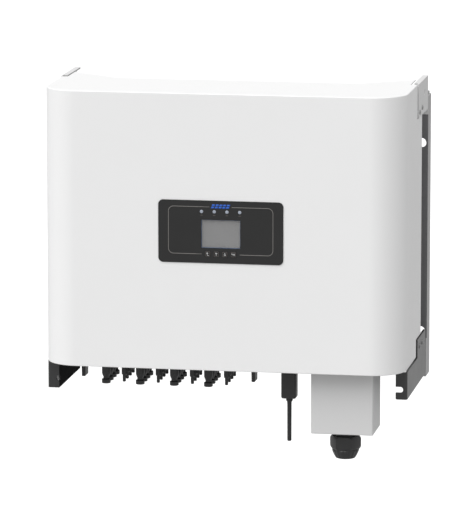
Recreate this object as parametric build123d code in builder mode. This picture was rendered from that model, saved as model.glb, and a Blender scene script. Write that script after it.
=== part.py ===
from build123d import *
import os

# String inverter hung on its wall bracket.
# X runs to the right, Y runs back into the wall and Z runs up. The wall is the plane Y = 0,
# and Z = 0 is the middle of the cover's height, where the wall bolts are centred too.

os.makedirs("parts", exist_ok=True)

# Overall sizes
cover_w = 637.5
cover_h = 487.0
body_d = 303.5
standoff = 46.5
front_y = -(body_d + standoff)
bottom_z = -cover_h / 2
top_z = cover_h / 2

# Front cover: a bent sheet with two large corners, open at the back
corner_r = 60.0
cover_t = 2.0
cover_edge_r = 1.6
cover_top_d = 176.0
cover_side_d = 236.5
hem_w = 12.0
tab_root_x = 215.0
tab_x = 306.5
tab_d = 240.0
seam = 1.5
small_gap = 0.3

# Upper corner plates, a little outside the cover's sides like the feet
plate_out = 1.5
ear_seam = 4.5
ear_h = 60.0
ear_t = 3.0
ear_lip_w = 10.0
ear_lip_gap = 14.0
ear_corner_r = 5.0
ear_slot_h = 12.5
ear_slot_w = 9.0
ear_slot_inset = 43.8
ear_slot_rise = 35.0
ear_back_low = 70.0
ear_back_high = 25.0

# Feet
foot_drop = 51.2
foot_seam = 10.0
foot_gap = 2.5
foot_front_d = 55.4
foot_back_d = 290.0
foot_rise = 30.5
foot_t = 4.0
foot_face_w = 20.5
foot_bend_r = 4.5
foot_corner_r = 2.5
foot_slot_w = 10.4
foot_slot_low = 12.3
foot_slot_extra = {"left": 0.3, "right": 8.0}
foot_inner_wall_d = 180.0
foot_shelf_w = 30.0

# Chassis box
chassis_w = 592.0
chassis_t = 3.0
chassis_front_d = 40.0
chassis_top_drop = 32.0
floor_rise = 8.0
chassis_edge_r = 3.0
chassis_h = cover_h - chassis_top_drop - floor_rise
floor_z = bottom_z + floor_rise
chassis_top_z = top_z - chassis_top_drop
chassis_mid_z = (floor_z + chassis_top_z) / 2
lid_t = 3.0
gasket_t = 2.0
gasket_w = 9.0
lip_w = 12.0

# Side rails: Z-shaped strips that carry the chassis on the bracket
rail_t = 2.5
rail_lap_d = 26.0
rail_out = 2.4
rail_flange_w = cover_w / 2 + rail_out - chassis_w / 2
ear_back_w = cover_w / 2 + plate_out - chassis_w / 2 - rail_t
carry_hole_r = 8.5
carry_hole_inset = 9.2
carry_hole_high = 365.8
carry_hole_low = 24.8
rail_low_z = bottom_z + 12.0
lock_screw_inset = 15.5
lock_screw_r = 2.0
lock_head_r = 4.0
lock_head_t = 2.4
hex_sides = 6
lock_edge = 46.0

# Heat sink
sink_w = 520.0
sink_low = 48.0
sink_high = 446.0
sink_base_t = 10.0
fin_t = 2.2
fin_count = 52
fin_d = 50.0
window_w = 490.0
window_low = 58.0
window_high = 430.0

# Wall bracket
bracket_t = 2.5
bracket_low = 59.0
bracket_top_drop = 38.5
bracket_out = 1.0
bracket_front_w = 30.0
bracket_wall_w = 40.0
bracket_gap = 0.5
bar_h = 60.0
bar_t = 2.5
wall_bolt_x = 596.0
wall_bolt_z = 360.0
wall_bolt_r = 4.5
sight_slot_h = 60.0
sight_slot_w = 24.0
sight_slot_x = 300.0
sight_slot_drop = 8.0
rivet_r = 3.0
rivet_head_r = 5.0
rivet_head_t = 1.6
rivet_edge = 20.0
hook_w = 60.0
hook_x = 150.0
hook_t = 2.0
hook_lip = 16.0
hook_plate_h = 46.0

# Display panel
panel_w = 220.0
panel_h = 110.0
panel_r = 8.5
panel_t = 1.2
panel_mid = 245.6
boss_w = 190.0
boss_h = 92.0
boss_r = 4.0
boss_clear = 0.3
screen_w = 69.0
screen_h = 50.0
screen_mid = 242.0
glass_t = 2.0
glass_inset = 0.2
lamp_r = 3.0
lamp_pitch = 22.4
lamp_count = 4
lamp_mid = 281.2
lamp_proud = 0.5
lamp_len = 8.0
lamp_clear = 0.1
key_size = 9.4
key_r = 1.2
key_clear = 0.4
key_pitch = 15.1
key_mid = 206.8
key_proud = 0.7
key_body_d = 5.4
key_lip = 1.5
key_lip_t = 1.2
key_lip_gap = 0.35
switch_size = 6.0
switch_gap = 1.0
switch_t = 1.6
board_t = 1.6
display_board_w = 180.0
screen_body_t = 4.5
screen_body_margin = 3.0

# Power electronics
power_w = 470.0
power_low = 205.0
power_high = 425.0
module_w = 62.0
module_h = 122.0
module_t = 20.0
module_count = 6
module_pitch = 76.0
cap_r = 17.5
cap_h = 50.0
cap_cols = 9
cap_rows = 2
cap_pitch_x = 44.0
cap_pitch_z = 44.0
cap_mid = 374.0
choke_w = 96.0
choke_h = 58.0
choke_d = 62.0
choke_pitch = 116.0
choke_mid = 168.0
choke_count = 4
filter_r = 36.0
filter_hole_r = 15.0
filter_d = 46.0
filter_pitch = 150.0
filter_mid = 98.0
filter_count = 3
relay_w = 34.0
relay_h = 24.0
relay_d = 30.0
relay_pitch = 50.0
relay_count = 6
relay_mid = 225.0
arrester_r = 9.0
arrester_t = 7.0
arrester_pitch = 26.0
arrester_count = 8
arrester_mid = 260.0
control_w = 330.0
control_h = 170.0
control_mid = 320.0
control_d = 110.0
post_r = 4.0
post_inset = 11.0
board_post_inset = 8.0

# Fan tray under the fins
fan_size = 50.0
fan_t = 20.0
fan_bore_r = 23.0
fan_hub_r = 10.0
fan_tip_gap = 1.2
fan_x = 150.0
fan_low = 22.0
fan_wall = 1.5
fan_blades = 7
fan_blade_t = 1.6
fan_blade_tilt = 38.0
fan_blade_w = 13.0
fan_shaft_r = 2.0
fan_shaft_clear = 0.05
fan_strut_w = 4.0
fan_strut_t = 3.0
fan_strut_count = 3
fan_stand = 0.6
tray_t = 2.0
guard_slot_w = 5.0
guard_slot_count = 5

# Solar input sockets
row_first_d = 70.0
row_pitch = 27.0
row_count = 4
group_x = -218.0
group_pitch = 61.1
group_count = 4
narrow_shift = 32.5
socket_hole_r = 6.2
socket_thread_r = 6.0
socket_tail = 16.0
socket_flange_r = 10.0
socket_flange_t = 5.0
wide_r = 7.6
wide_waist_r = 5.2
wide_cap_t = 7.5
wide_waist_t = 2.8
wide_taper_t = 4.0
wide_low = 42.5
narrow_r = 4.6
narrow_nose_r = 2.9
narrow_low = 39.0
narrow_taper_t = 2.0
narrow_nose_t = 12.0
nut_t = 5.0
nut_r = 9.5

# Solar isolators
isolator_x = (-263.5, 41.5)
isolator_d = 105.0
isolator_body = 44.0
isolator_body_h = 58.0
isolator_neck_r = 11.0
isolator_neck_gap = 0.3
isolator_shaft_r = 5.0
isolator_shaft_clear = 0.05
isolator_shaft_run = 16.0
knob_r = 21.0
knob_disc_t = 12.0
knob_gap = 0.6
knob_low = 36.5
grip_w = 8.5
grip_tip_w = 6.6
grip_len = 31.0
grip_tip_len = 29.0

# Data logger stick with its antenna
logger_x = 109.3
logger_d = 73.5
logger_w = 26.3
logger_low = 58.1
logger_top_gap = 14.0
logger_r = 3.5
logger_ring_r = 15.0
logger_neck_r = 8.0
logger_hole_r = 8.2
antenna_r = 3.9
antenna_root_r = 6.0
antenna_root_t = 6.0
antenna_low = 136.0

# Grid wiring box and its cable gland
box_x = 206.7
box_front_d = 45.0
box_w = 110.0
box_d = 91.0
box_low = 115.4
box_t = 2.5
box_r = 3.0
box_rim_t = 1.5
box_window_w = 84.0
box_window_d = 64.0
box_mid_d = box_front_d + box_d / 2
gland_hole_r = 20.0
gland_hole_clear = 0.25
gland_hex_r = 24.0
gland_hex_t = 9.0
gland_locknut_t = 6.0
gland_locknut_r = 25.0
gland_nut_r = 27.6
gland_nut_t = 23.0
gland_nut_gap = 0.5
gland_taper_t = 17.4
gland_mouth_r = 17.0
gland_bore_r = 15.4
gland_wall = 2.6
seal_bore_r = 12.0
seal_len = 24.0
terminal_w = 18.0
terminal_pitch = 19.0
terminal_count = 4
terminal_h = 34.0
terminal_d = 36.0
terminal_screw_r = 4.0
terminal_screw_t = 2.0

# Small fittings
screw_head_r = 4.2
screw_head_t = 1.6
screw_shank_r = 1.9
screw_socket_r = 2.2
screw_run = 8.0
ear_screws = ((14.0, 9.0), (46.0, 13.0))
foot_screws = ((70.0, 15.0), (37.0, 14.0))
valve_x = 272.0
valve_r = 9.0
valve_t = 7.0
valve_thread_r = 5.0
stud_x = -285.0
stud_back = 54.0
stud_r = 3.0
stud_len = 16.0
lug_nut_r = 6.0
lug_nut_t = 4.0

sides = {"left": -1, "right": 1}


def front_plane(depth):
    """Plane parallel to the front, at a depth behind the cover's face."""
    return Plane.XZ.offset(-(front_y + depth))


def level(height):
    """Level plane at a height above the cover's lower edge."""
    return Plane.XY.offset(bottom_z + height)


def plan(x, depth):
    """Point of a level sketch at a depth behind the cover's face."""
    return (x, front_y + depth)


def up(height):
    """Z of a height above the cover's lower edge."""
    return bottom_z + height


def spaced(count, pitch, middle=0.0):
    """Evenly spaced places along a line about its middle."""
    return [middle + (i - (count - 1) / 2) * pitch for i in range(count)]


row_depths = [row_first_d + i * row_pitch for i in range(row_count)]
wide_places = [plan(group_x + g * group_pitch, d) for g in range(group_count) for d in row_depths]
narrow_places = [(x + narrow_shift, y) for x, y in wide_places]
isolator_places = [plan(x, isolator_d) for x in isolator_x]
key_places = spaced(len(("back", "up", "down", "enter")), key_pitch)
carry_holes = (up(carry_hole_high), up(carry_hole_low))
lock_heights = (top_z - ear_h - lock_edge, bottom_z + foot_rise + lock_edge)

# Front cover
with BuildPart() as front_cover:
    with BuildSketch(level(0)):
        with Locations(plan(0, cover_side_d / 2)):
            Rectangle(cover_w, cover_side_d)
        fillet(vertices().group_by(Axis.Y)[0], corner_r)
    extrude(amount=cover_h)
    fillet(edges().group_by(Axis.Z)[-1].filter_by(lambda e: e.center().Y < front_y + cover_side_d - seam),
           cover_edge_r)
    with BuildSketch(level(0)):
        with Locations(plan(0, cover_t + cover_side_d / 2)):
            Rectangle(cover_w - 2 * cover_t, cover_side_d)
        fillet(vertices().group_by(Axis.Y)[0], corner_r - cover_t)
    extrude(amount=cover_h - cover_t, mode=Mode.SUBTRACT)
    with BuildSketch(level(0)):
        with Locations(plan(0, cover_top_d / 2)):
            Rectangle(cover_w, cover_top_d)
        fillet(vertices().group_by(Axis.Y)[0], corner_r)
        with Locations(plan(0, hem_w + cover_top_d / 2)):
            Rectangle(cover_w - 2 * hem_w, cover_top_d, mode=Mode.SUBTRACT)
    extrude(amount=cover_t)
    with BuildSketch(Plane.YZ):
        with BuildLine():
            Polyline((front_y + cover_top_d, top_z + seam), (front_y + cover_top_d, top_z - ear_h - seam),
                     (front_y + cover_side_d + seam, top_z - ear_h - seam),
                     (front_y + cover_side_d + seam, top_z + seam), close=True)
        make_face()
        with BuildLine():
            Polyline((front_y + cover_top_d, bottom_z - seam),
                     (front_y + cover_top_d, up(foot_rise) + foot_gap),
                     (front_y + cover_side_d + seam, up(foot_rise) + foot_gap),
                     (front_y + cover_side_d + seam, bottom_z - seam), close=True)
        make_face()
    extrude(amount=cover_w, both=True, mode=Mode.SUBTRACT)
    with BuildSketch(Plane.XY.offset(top_z)):
        for sign in sides.values():
            with BuildLine():
                Polyline(plan(sign * tab_root_x, cover_top_d - seam), plan(sign * tab_root_x, cover_top_d),
                         plan(sign * tab_x, tab_d), plan(sign * tab_x, cover_top_d - seam), close=True)
            make_face()
    extrude(amount=-cover_t)
    with BuildSketch(front_plane(0)):
        with Locations((0, up(panel_mid))):
            RectangleRounded(boss_w + 2 * boss_clear, boss_h + 2 * boss_clear, boss_r)
    extrude(amount=-cover_t, mode=Mode.SUBTRACT)
front_cover.part.label = "front_cover"
export_step(front_cover.part, "parts/front_cover.step")

# Upper corner plates: an outer plate, a lip along its top and a flange behind
for side, sign in sides.items():
    ear_outer = sign * (cover_w / 2 + plate_out)
    ear_front_y = front_y + cover_top_d + ear_seam
    ear_rear_y = front_y + body_d
    ear_mid_z = top_z - ear_h / 2
    with BuildPart() as ear_plate:
        with BuildSketch(Plane.YZ.offset(ear_outer)):
            with Locations(((ear_front_y + ear_rear_y) / 2, ear_mid_z)):
                Rectangle(ear_rear_y - ear_front_y, ear_h)
            fillet(vertices().group_by(Axis.Y)[0].sort_by(Axis.X)[0], ear_corner_r)
            with Locations((ear_rear_y - ear_slot_inset, top_z - ear_h + ear_slot_rise)):
                SlotOverall(ear_slot_h, ear_slot_w, rotation=90, mode=Mode.SUBTRACT)
            with Locations([(ear_front_y + a, top_z - ear_h + b) for a, b in ear_screws]):
                Circle(screw_shank_r, mode=Mode.SUBTRACT)
        extrude(amount=-sign * ear_t)
        lip_front_y = ear_front_y + ear_lip_gap
        with BuildSketch(Plane.XY.offset(top_z)):
            with Locations((ear_outer - sign * ear_lip_w / 2, (lip_front_y + ear_rear_y) / 2)):
                Rectangle(ear_lip_w, ear_rear_y - lip_front_y)
        extrude(amount=-ear_t)
        with BuildSketch(front_plane(body_d)):
            with Locations((ear_outer - sign * ear_back_w / 2, top_z - (ear_back_low + ear_back_high) / 2)):
                Rectangle(ear_back_w, ear_back_low - ear_back_high)
        extrude(amount=ear_t)
    ear_plate.part.label = f"ear_plate_{side}"
    export_step(ear_plate.part, f"parts/ear_plate_{side}.step")

# Feet: an outer plate, a slotted face bent inwards and a shelf under the chassis
for side, sign in sides.items():
    foot_outer = sign * (cover_w / 2 + plate_out)
    foot_inner = foot_outer - sign * foot_face_w
    foot_bottom_z = bottom_z - foot_drop
    slot_mid = foot_bottom_z + foot_slot_low + foot_slot_w / 2
    face_mid_z = bottom_z - (foot_drop + foot_gap) / 2
    face_h = foot_drop - foot_gap
    with BuildPart() as foot_plate:
        with BuildSketch(Plane.YZ.offset(foot_outer)):
            with BuildLine():
                Polyline((front_y + foot_front_d, foot_bottom_z), (front_y + foot_back_d, foot_bottom_z),
                         (front_y + foot_back_d, up(foot_rise)),
                         (front_y + cover_top_d + foot_seam, up(foot_rise)),
                         (front_y + cover_top_d + foot_seam, bottom_z - foot_gap),
                         (front_y + foot_front_d, bottom_z - foot_gap), close=True)
            make_face()
            fillet(vertices().group_by(Axis.X)[-1], foot_corner_r)
            with Locations([(front_y + cover_top_d + a, bottom_z + b) for a, b in foot_screws]):
                Circle(screw_shank_r, mode=Mode.SUBTRACT)
        extrude(amount=-sign * foot_t)
        with BuildSketch(front_plane(foot_front_d)):
            with Locations(((foot_outer + foot_inner) / 2, face_mid_z)):
                Rectangle(foot_face_w, face_h)
            fillet(vertices().group_by(Axis.X)[0 if sign > 0 else -1].sort_by(Axis.Y)[0], foot_corner_r)
        extrude(amount=-foot_t)
        bend_y = front_y + foot_front_d + seam
        fillet(edges().filter_by(Axis.Z).filter_by(
            lambda e: abs(e.center().X - foot_outer) < small_gap and e.center().Y < bend_y), foot_bend_r)
        with BuildSketch(front_plane(foot_front_d - seam)):
            with Locations((foot_inner, slot_mid)):
                SlotOverall(foot_slot_w + 2 * foot_slot_extra[side], foot_slot_w)
        extrude(amount=-(foot_t + 2 * seam), mode=Mode.SUBTRACT)
        with BuildSketch(Plane.XY.offset(floor_z)):
            shelf_d = foot_back_d - foot_corner_r - cover_top_d - foot_seam
            with Locations(plan(foot_outer - sign * (foot_t + foot_shelf_w) / 2,
                                cover_top_d + foot_seam + shelf_d / 2)):
                Rectangle(foot_shelf_w + foot_t, shelf_d)
        extrude(amount=-foot_t)
        if side == "left":
            with BuildSketch(Plane.YZ.offset(foot_inner)):
                with Locations((front_y + foot_front_d + foot_inner_wall_d / 2, face_mid_z)):
                    Rectangle(foot_inner_wall_d, face_h)
                with Locations((front_y + foot_front_d, slot_mid)):
                    Circle(foot_slot_w / 2 + seam, mode=Mode.SUBTRACT)
            extrude(amount=sign * rail_t)
            with BuildSketch(front_plane(foot_front_d + foot_inner_wall_d)):
                with Locations(((foot_outer + foot_inner) / 2, face_mid_z)):
                    Rectangle(foot_face_w, face_h)
            extrude(amount=foot_t)
    foot_plate.part.label = f"foot_plate_{side}"
    export_step(foot_plate.part, f"parts/foot_plate_{side}.step")

# Chassis box: deep box with a lip round its open front and a window behind for the heat sink
with BuildPart() as chassis_box:
    with BuildSketch(front_plane(chassis_front_d)):
        with Locations((0, chassis_mid_z)):
            Rectangle(chassis_w, chassis_h)
    extrude(amount=-(cover_side_d - chassis_front_d))
    fillet(edges().filter_by(Axis.Y), chassis_edge_r)
    with BuildSketch(front_plane(chassis_front_d + chassis_t)):
        with Locations((0, chassis_mid_z)):
            Rectangle(chassis_w - 2 * chassis_t, chassis_h - 2 * chassis_t)
    extrude(amount=-(cover_side_d - chassis_front_d - 2 * chassis_t), mode=Mode.SUBTRACT)
    with BuildSketch(front_plane(chassis_front_d)):
        with Locations((0, chassis_mid_z)):
            Rectangle(chassis_w - 2 * lip_w, chassis_h - 2 * lip_w)
    extrude(amount=-chassis_t, mode=Mode.SUBTRACT)
    with BuildSketch(front_plane(cover_side_d)):
        with Locations((0, up((window_low + window_high) / 2))):
            Rectangle(window_w, window_high - window_low)
    extrude(amount=chassis_t, mode=Mode.SUBTRACT)
    with BuildSketch(Plane.XY.offset(floor_z)):
        with Locations(*wide_places, *narrow_places):
            Circle(socket_hole_r)
        with Locations(*isolator_places):
            Circle(isolator_neck_r + isolator_neck_gap)
        with Locations(plan(logger_x, logger_d)):
            Circle(logger_hole_r)
        with Locations(plan(box_x, box_mid_d)):
            Rectangle(box_window_w, box_window_d)
        with Locations(plan(valve_x, box_mid_d)):
            Circle(valve_thread_r)
        with Locations(plan(stud_x, box_mid_d + stud_back)):
            Circle(stud_r)
    extrude(amount=chassis_t, mode=Mode.SUBTRACT)
chassis_box.part.label = "chassis_box"
export_step(chassis_box.part, "parts/chassis_box.step")

# Rubber frame and lid that close the chassis in front
with BuildPart() as lid_gasket:
    with BuildSketch(front_plane(chassis_front_d - gasket_t)):
        with Locations((0, chassis_mid_z)):
            Rectangle(chassis_w - seam, chassis_h - seam)
            Rectangle(chassis_w - 2 * gasket_w, chassis_h - 2 * gasket_w, mode=Mode.SUBTRACT)
    extrude(amount=-gasket_t)
lid_gasket.part.label = "lid_gasket"
export_step(lid_gasket.part, "parts/lid_gasket.step")

with BuildPart() as chassis_lid:
    with BuildSketch(front_plane(chassis_front_d - gasket_t - lid_t)):
        with Locations((0, chassis_mid_z)):
            Rectangle(chassis_w, chassis_h)
    extrude(amount=-lid_t)
    fillet(edges().filter_by(Axis.Y), chassis_edge_r)
chassis_lid.part.label = "chassis_lid"
export_step(chassis_lid.part, "parts/chassis_lid.step")

# Side rails: a web on the chassis side and a flange behind, with a round hole near each end
rail_high_z = top_z - ear_back_low - small_gap
for side, sign in sides.items():
    web_x = sign * chassis_w / 2
    hole_x = sign * (cover_w / 2 - carry_hole_inset)
    lock_x = sign * (cover_w / 2 - lock_screw_inset)
    with BuildPart() as side_rail:
        with BuildSketch(Plane.YZ.offset(web_x)):
            with Locations((front_y + (cover_side_d - rail_lap_d + body_d) / 2,
                            (rail_low_z + chassis_top_z) / 2)):
                Rectangle(body_d - cover_side_d + rail_lap_d, chassis_top_z - rail_low_z)
        extrude(amount=sign * rail_t)
        with BuildSketch(front_plane(body_d)):
            with Locations((web_x + sign * rail_flange_w / 2, (rail_low_z + rail_high_z) / 2)):
                Rectangle(rail_flange_w, rail_high_z - rail_low_z)
            with Locations(*[(hole_x, z) for z in carry_holes]):
                Circle(carry_hole_r, mode=Mode.SUBTRACT)
            with Locations(*[(lock_x, z) for z in lock_heights]):
                Circle(lock_screw_r, mode=Mode.SUBTRACT)
        extrude(amount=rail_t)
    side_rail.part.label = f"side_rail_{side}"
    export_step(side_rail.part, f"parts/side_rail_{side}.step")

# Heat sink: a base plate with upright fins behind
sink_mid_z = up((sink_low + sink_high) / 2)
with BuildPart() as heat_sink:
    with BuildSketch(front_plane(cover_side_d)):
        with Locations((0, sink_mid_z)):
            Rectangle(sink_w, sink_high - sink_low)
    extrude(amount=-sink_base_t)
    with BuildSketch(level(sink_low)):
        with Locations(*[plan(x, cover_side_d + sink_base_t + fin_d / 2)
                         for x in spaced(fin_count, (sink_w - fin_t) / (fin_count - 1))]):
            Rectangle(fin_t, fin_d)
    extrude(amount=sink_high - sink_low)
heat_sink.part.label = "heat_sink"
export_step(heat_sink.part, "parts/heat_sink.step")

# Bar across the back of the side rails, and the two hooks on it
bar_mid_z = wall_bolt_z / 2
with BuildPart() as hang_bar:
    with BuildSketch(front_plane(body_d)):
        with Locations((0, chassis_top_z - hook_plate_h / 2)):
            Rectangle(chassis_w, hook_plate_h)
    extrude(amount=rail_t)
hang_bar.part.label = "hang_bar"
export_step(hang_bar.part, "parts/hang_bar.step")

hook_top_z = bar_mid_z + bar_h / 2 + bracket_gap + hook_t
hook_lip_y = -(bracket_t - small_gap)
with BuildPart() as hang_hooks:
    for x in (-hook_x, hook_x):
        with BuildSketch(Plane.YZ.offset(x)):
            with BuildLine():
                Polyline((front_y + body_d, hook_top_z - hook_plate_h), (front_y + body_d, hook_top_z),
                         (hook_lip_y + hook_t, hook_top_z), (hook_lip_y + hook_t, hook_top_z - hook_lip),
                         (hook_lip_y, hook_top_z - hook_lip), (hook_lip_y, hook_top_z - hook_t),
                         (front_y + body_d + hook_t, hook_top_z - hook_t),
                         (front_y + body_d + hook_t, hook_top_z - hook_plate_h), close=True)
            make_face()
        extrude(amount=hook_w / 2, both=True)
hang_hooks.part.label = "hang_hooks"
export_step(hang_hooks.part, "parts/hang_hooks.step")

# Wall bracket: two channel rails joined by two bars
rivet_x = cover_w / 2 + bracket_out - bracket_wall_w + rivet_edge / 2
rivet_spots = [(sx * rivet_x, sz * bar_mid_z + o) for sx in (-1, 1) for sz in (-1, 1)
               for o in (-rivet_edge, rivet_edge)]
wall_bolt_spots = [(sx * wall_bolt_x / 2, sz * bar_mid_z) for sx in (-1, 1) for sz in (-1, 1)]
bracket_front_y = front_y + body_d + bracket_gap
bracket_low_z = bottom_z - bracket_low
bracket_high_z = top_z - bracket_top_drop
for side, sign in sides.items():
    outer_x = sign * (cover_w / 2 + bracket_out)
    hole_x = sign * (cover_w / 2 - carry_hole_inset)
    lock_x = sign * (cover_w / 2 - lock_screw_inset)
    with BuildPart() as bracket_rail:
        with BuildSketch(Plane.XY.offset(bracket_low_z)):
            with Locations((outer_x - sign * bracket_t / 2, bracket_front_y / 2)):
                Rectangle(bracket_t, -bracket_front_y)
            with Locations((outer_x - sign * bracket_front_w / 2, bracket_front_y + bracket_t / 2)):
                Rectangle(bracket_front_w, bracket_t)
            with Locations((outer_x - sign * bracket_wall_w / 2, -bracket_t / 2)):
                Rectangle(bracket_wall_w, bracket_t)
        extrude(amount=bracket_high_z - bracket_low_z)
        with BuildSketch(front_plane(body_d)):
            with Locations(*[(hole_x, z) for z in carry_holes]):
                Circle(carry_hole_r)
            with Locations(*[(lock_x, z) for z in lock_heights]):
                Circle(lock_screw_r)
        extrude(amount=-(bracket_gap + 2 * bracket_t), mode=Mode.SUBTRACT)
        with BuildSketch(Plane.XZ):
            with Locations(*[(sign * sight_slot_x, z - sight_slot_drop) for z in carry_holes]):
                SlotOverall(sight_slot_h, sight_slot_w, rotation=90)
            with Locations(*[(x, z) for x, z in wall_bolt_spots if x * sign > 0]):
                Circle(wall_bolt_r)
            with Locations(*[(x, z) for x, z in rivet_spots if x * sign > 0]):
                Circle(rivet_r)
        extrude(amount=bracket_t, mode=Mode.SUBTRACT)
    bracket_rail.part.label = f"bracket_rail_{side}"
    export_step(bracket_rail.part, f"parts/bracket_rail_{side}.step")

for place, mid_z in {"top": bar_mid_z, "bottom": -bar_mid_z}.items():
    with BuildPart() as bracket_bar:
        with BuildSketch(Plane.XZ.offset(bracket_t)):
            with Locations((0, mid_z)):
                Rectangle(cover_w + 2 * bracket_out - 2 * bracket_t, bar_h)
            with Locations(*[(x, z) for x, z in wall_bolt_spots if z * mid_z > 0]):
                Circle(wall_bolt_r, mode=Mode.SUBTRACT)
            with Locations(*[(x, z) for x, z in rivet_spots if z * mid_z > 0]):
                Circle(rivet_r, mode=Mode.SUBTRACT)
        extrude(amount=bar_t)
    bracket_bar.part.label = f"bracket_bar_{place}"
    export_step(bracket_bar.part, f"parts/bracket_bar_{place}.step")

with BuildPart() as bracket_rivets:
    with BuildSketch(Plane.XZ):
        with Locations(*rivet_spots):
            Circle(rivet_r)
    extrude(amount=bracket_t + bar_t)
    with BuildSketch(Plane.XZ.offset(bracket_t + bar_t)):
        with Locations(*rivet_spots):
            Circle(rivet_head_r)
    extrude(amount=rivet_head_t)
bracket_rivets.part.label = "bracket_rivets"
export_step(bracket_rivets.part, "parts/bracket_rivets.step")

# Screws that lock the side rails to the bracket
lock_spots = [(sign * (cover_w / 2 - lock_screw_inset), z) for sign in sides.values() for z in lock_heights]
with BuildPart() as lock_screws:
    with BuildSketch(front_plane(body_d - rail_t)):
        with Locations(*lock_spots):
            Circle(lock_screw_r)
    extrude(amount=-(rail_t + bracket_gap + bracket_t + lock_head_t))
    with BuildSketch(front_plane(body_d - rail_t)):
        with Locations(*lock_spots):
            RegularPolygon(lock_head_r, hex_sides)
    extrude(amount=lock_head_t)
lock_screws.part.label = "lock_screws"
export_step(lock_screws.part, "parts/lock_screws.step")

# Display panel: a thin rounded plate with a boss that fills the cover's opening
key_openings = [(x, up(key_mid)) for x in key_places]
lamp_spots = [(x, up(lamp_mid)) for x in spaced(lamp_count, lamp_pitch)]
with BuildPart() as display_panel:
    with BuildSketch(front_plane(0)):
        with Locations((0, up(panel_mid))):
            RectangleRounded(panel_w, panel_h, panel_r)
    extrude(amount=panel_t)
    with BuildSketch(front_plane(0)):
        with Locations((0, up(panel_mid))):
            RectangleRounded(boss_w, boss_h, boss_r)
    extrude(amount=-cover_t)
    with BuildSketch(front_plane(-panel_t)):
        with Locations((0, up(screen_mid))):
            Rectangle(screen_w, screen_h)
        with Locations(*lamp_spots):
            Circle(lamp_r)
        with Locations(*key_openings):
            RectangleRounded(key_size + 2 * key_clear, key_size + 2 * key_clear, key_r + key_clear)
    extrude(amount=-(panel_t + cover_t), mode=Mode.SUBTRACT)
display_panel.part.label = "display_panel"
export_step(display_panel.part, "parts/display_panel.step")

with BuildPart() as screen_glass:
    with BuildSketch(front_plane(glass_inset - panel_t)):
        with Locations((0, up(screen_mid))):
            Rectangle(screen_w - 2 * lamp_clear, screen_h - 2 * lamp_clear)
    extrude(amount=-glass_t)
screen_glass.part.label = "screen_glass"
export_step(screen_glass.part, "parts/screen_glass.step")

key_rear_d = key_body_d + cover_t
board_front_d = key_rear_d + switch_gap + switch_t
with BuildPart() as screen_module:
    with BuildSketch(front_plane(cover_t)):
        with Locations((0, up(screen_mid))):
            Rectangle(screen_w + 2 * screen_body_margin, screen_h + 2 * screen_body_margin)
    extrude(amount=-screen_body_t)
screen_module.part.label = "screen_module"
export_step(screen_module.part, "parts/screen_module.step")

with BuildPart() as status_lamps:
    with BuildSketch(front_plane(-panel_t - lamp_proud)):
        with Locations(*lamp_spots):
            Circle(lamp_r - lamp_clear)
    extrude(amount=-lamp_len)
    fillet(edges().group_by(Axis.Y)[0], lamp_proud)
status_lamps.part.label = "status_lamps"
export_step(status_lamps.part, "parts/status_lamps.step")

for key_name, x in zip(("back", "up", "down", "enter"), key_places):
    with BuildPart() as panel_key:
        with BuildSketch(front_plane(-panel_t - key_proud)):
            with Locations((x, up(key_mid))):
                RectangleRounded(key_size, key_size, key_r)
        extrude(amount=-(panel_t + key_proud + key_rear_d))
        fillet(edges().group_by(Axis.Y)[0], key_proud / 2)
        with BuildSketch(front_plane(cover_t + key_lip_gap)):
            with Locations((x, up(key_mid))):
                Rectangle(key_size + 2 * key_lip, key_size + 2 * key_lip)
        extrude(amount=-key_lip_t)
    panel_key.part.label = f"key_{key_name}"
    export_step(panel_key.part, f"parts/key_{key_name}.step")

with BuildPart() as display_board:
    with BuildSketch(front_plane(board_front_d)):
        with Locations((0, up(panel_mid))):
            Rectangle(display_board_w, boss_h - 2 * boss_r)
    extrude(amount=-board_t)
    with BuildSketch(front_plane(board_front_d)):
        with Locations(*key_openings):
            Rectangle(switch_size, switch_size)
    extrude(amount=switch_t)
    with BuildSketch(front_plane(board_front_d)):
        with Locations((0, up(panel_mid))):
            with GridLocations(display_board_w - 2 * board_post_inset,
                               boss_h - 2 * boss_r - 2 * board_post_inset, 2, 2):
                Circle(post_r)
    extrude(amount=board_front_d - cover_t)
display_board.part.label = "display_board"
export_step(display_board.part, "parts/display_board.step")

# Power electronics inside the chassis
power_mid_z = up((power_low + power_high) / 2)
module_front_d = cover_side_d - module_t
power_board_d = module_front_d - board_t
with BuildPart() as power_modules:
    with BuildSketch(front_plane(cover_side_d)):
        with Locations(*[(x, power_mid_z) for x in spaced(module_count, module_pitch)]):
            Rectangle(module_w, module_h)
    extrude(amount=module_t)
power_modules.part.label = "power_modules"
export_step(power_modules.part, "parts/power_modules.step")

with BuildPart() as power_board:
    with BuildSketch(front_plane(power_board_d)):
        with Locations((0, power_mid_z)):
            Rectangle(power_w, power_high - power_low)
    extrude(amount=-board_t)
power_board.part.label = "power_board"
export_step(power_board.part, "parts/power_board.step")

with BuildPart() as link_capacitors:
    with BuildSketch(front_plane(power_board_d)):
        with Locations((0, up(cap_mid))):
            with GridLocations(cap_pitch_x, cap_pitch_z, cap_cols, cap_rows):
                Circle(cap_r)
    extrude(amount=cap_h)
link_capacitors.part.label = "link_capacitors"
export_step(link_capacitors.part, "parts/link_capacitors.step")

with BuildPart() as grid_relays:
    with BuildSketch(front_plane(power_board_d)):
        with Locations(*[(x, up(relay_mid)) for x in spaced(relay_count, relay_pitch)]):
            Rectangle(relay_w, relay_h)
    extrude(amount=relay_d)
grid_relays.part.label = "grid_relays"
export_step(grid_relays.part, "parts/grid_relays.step")

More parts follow.
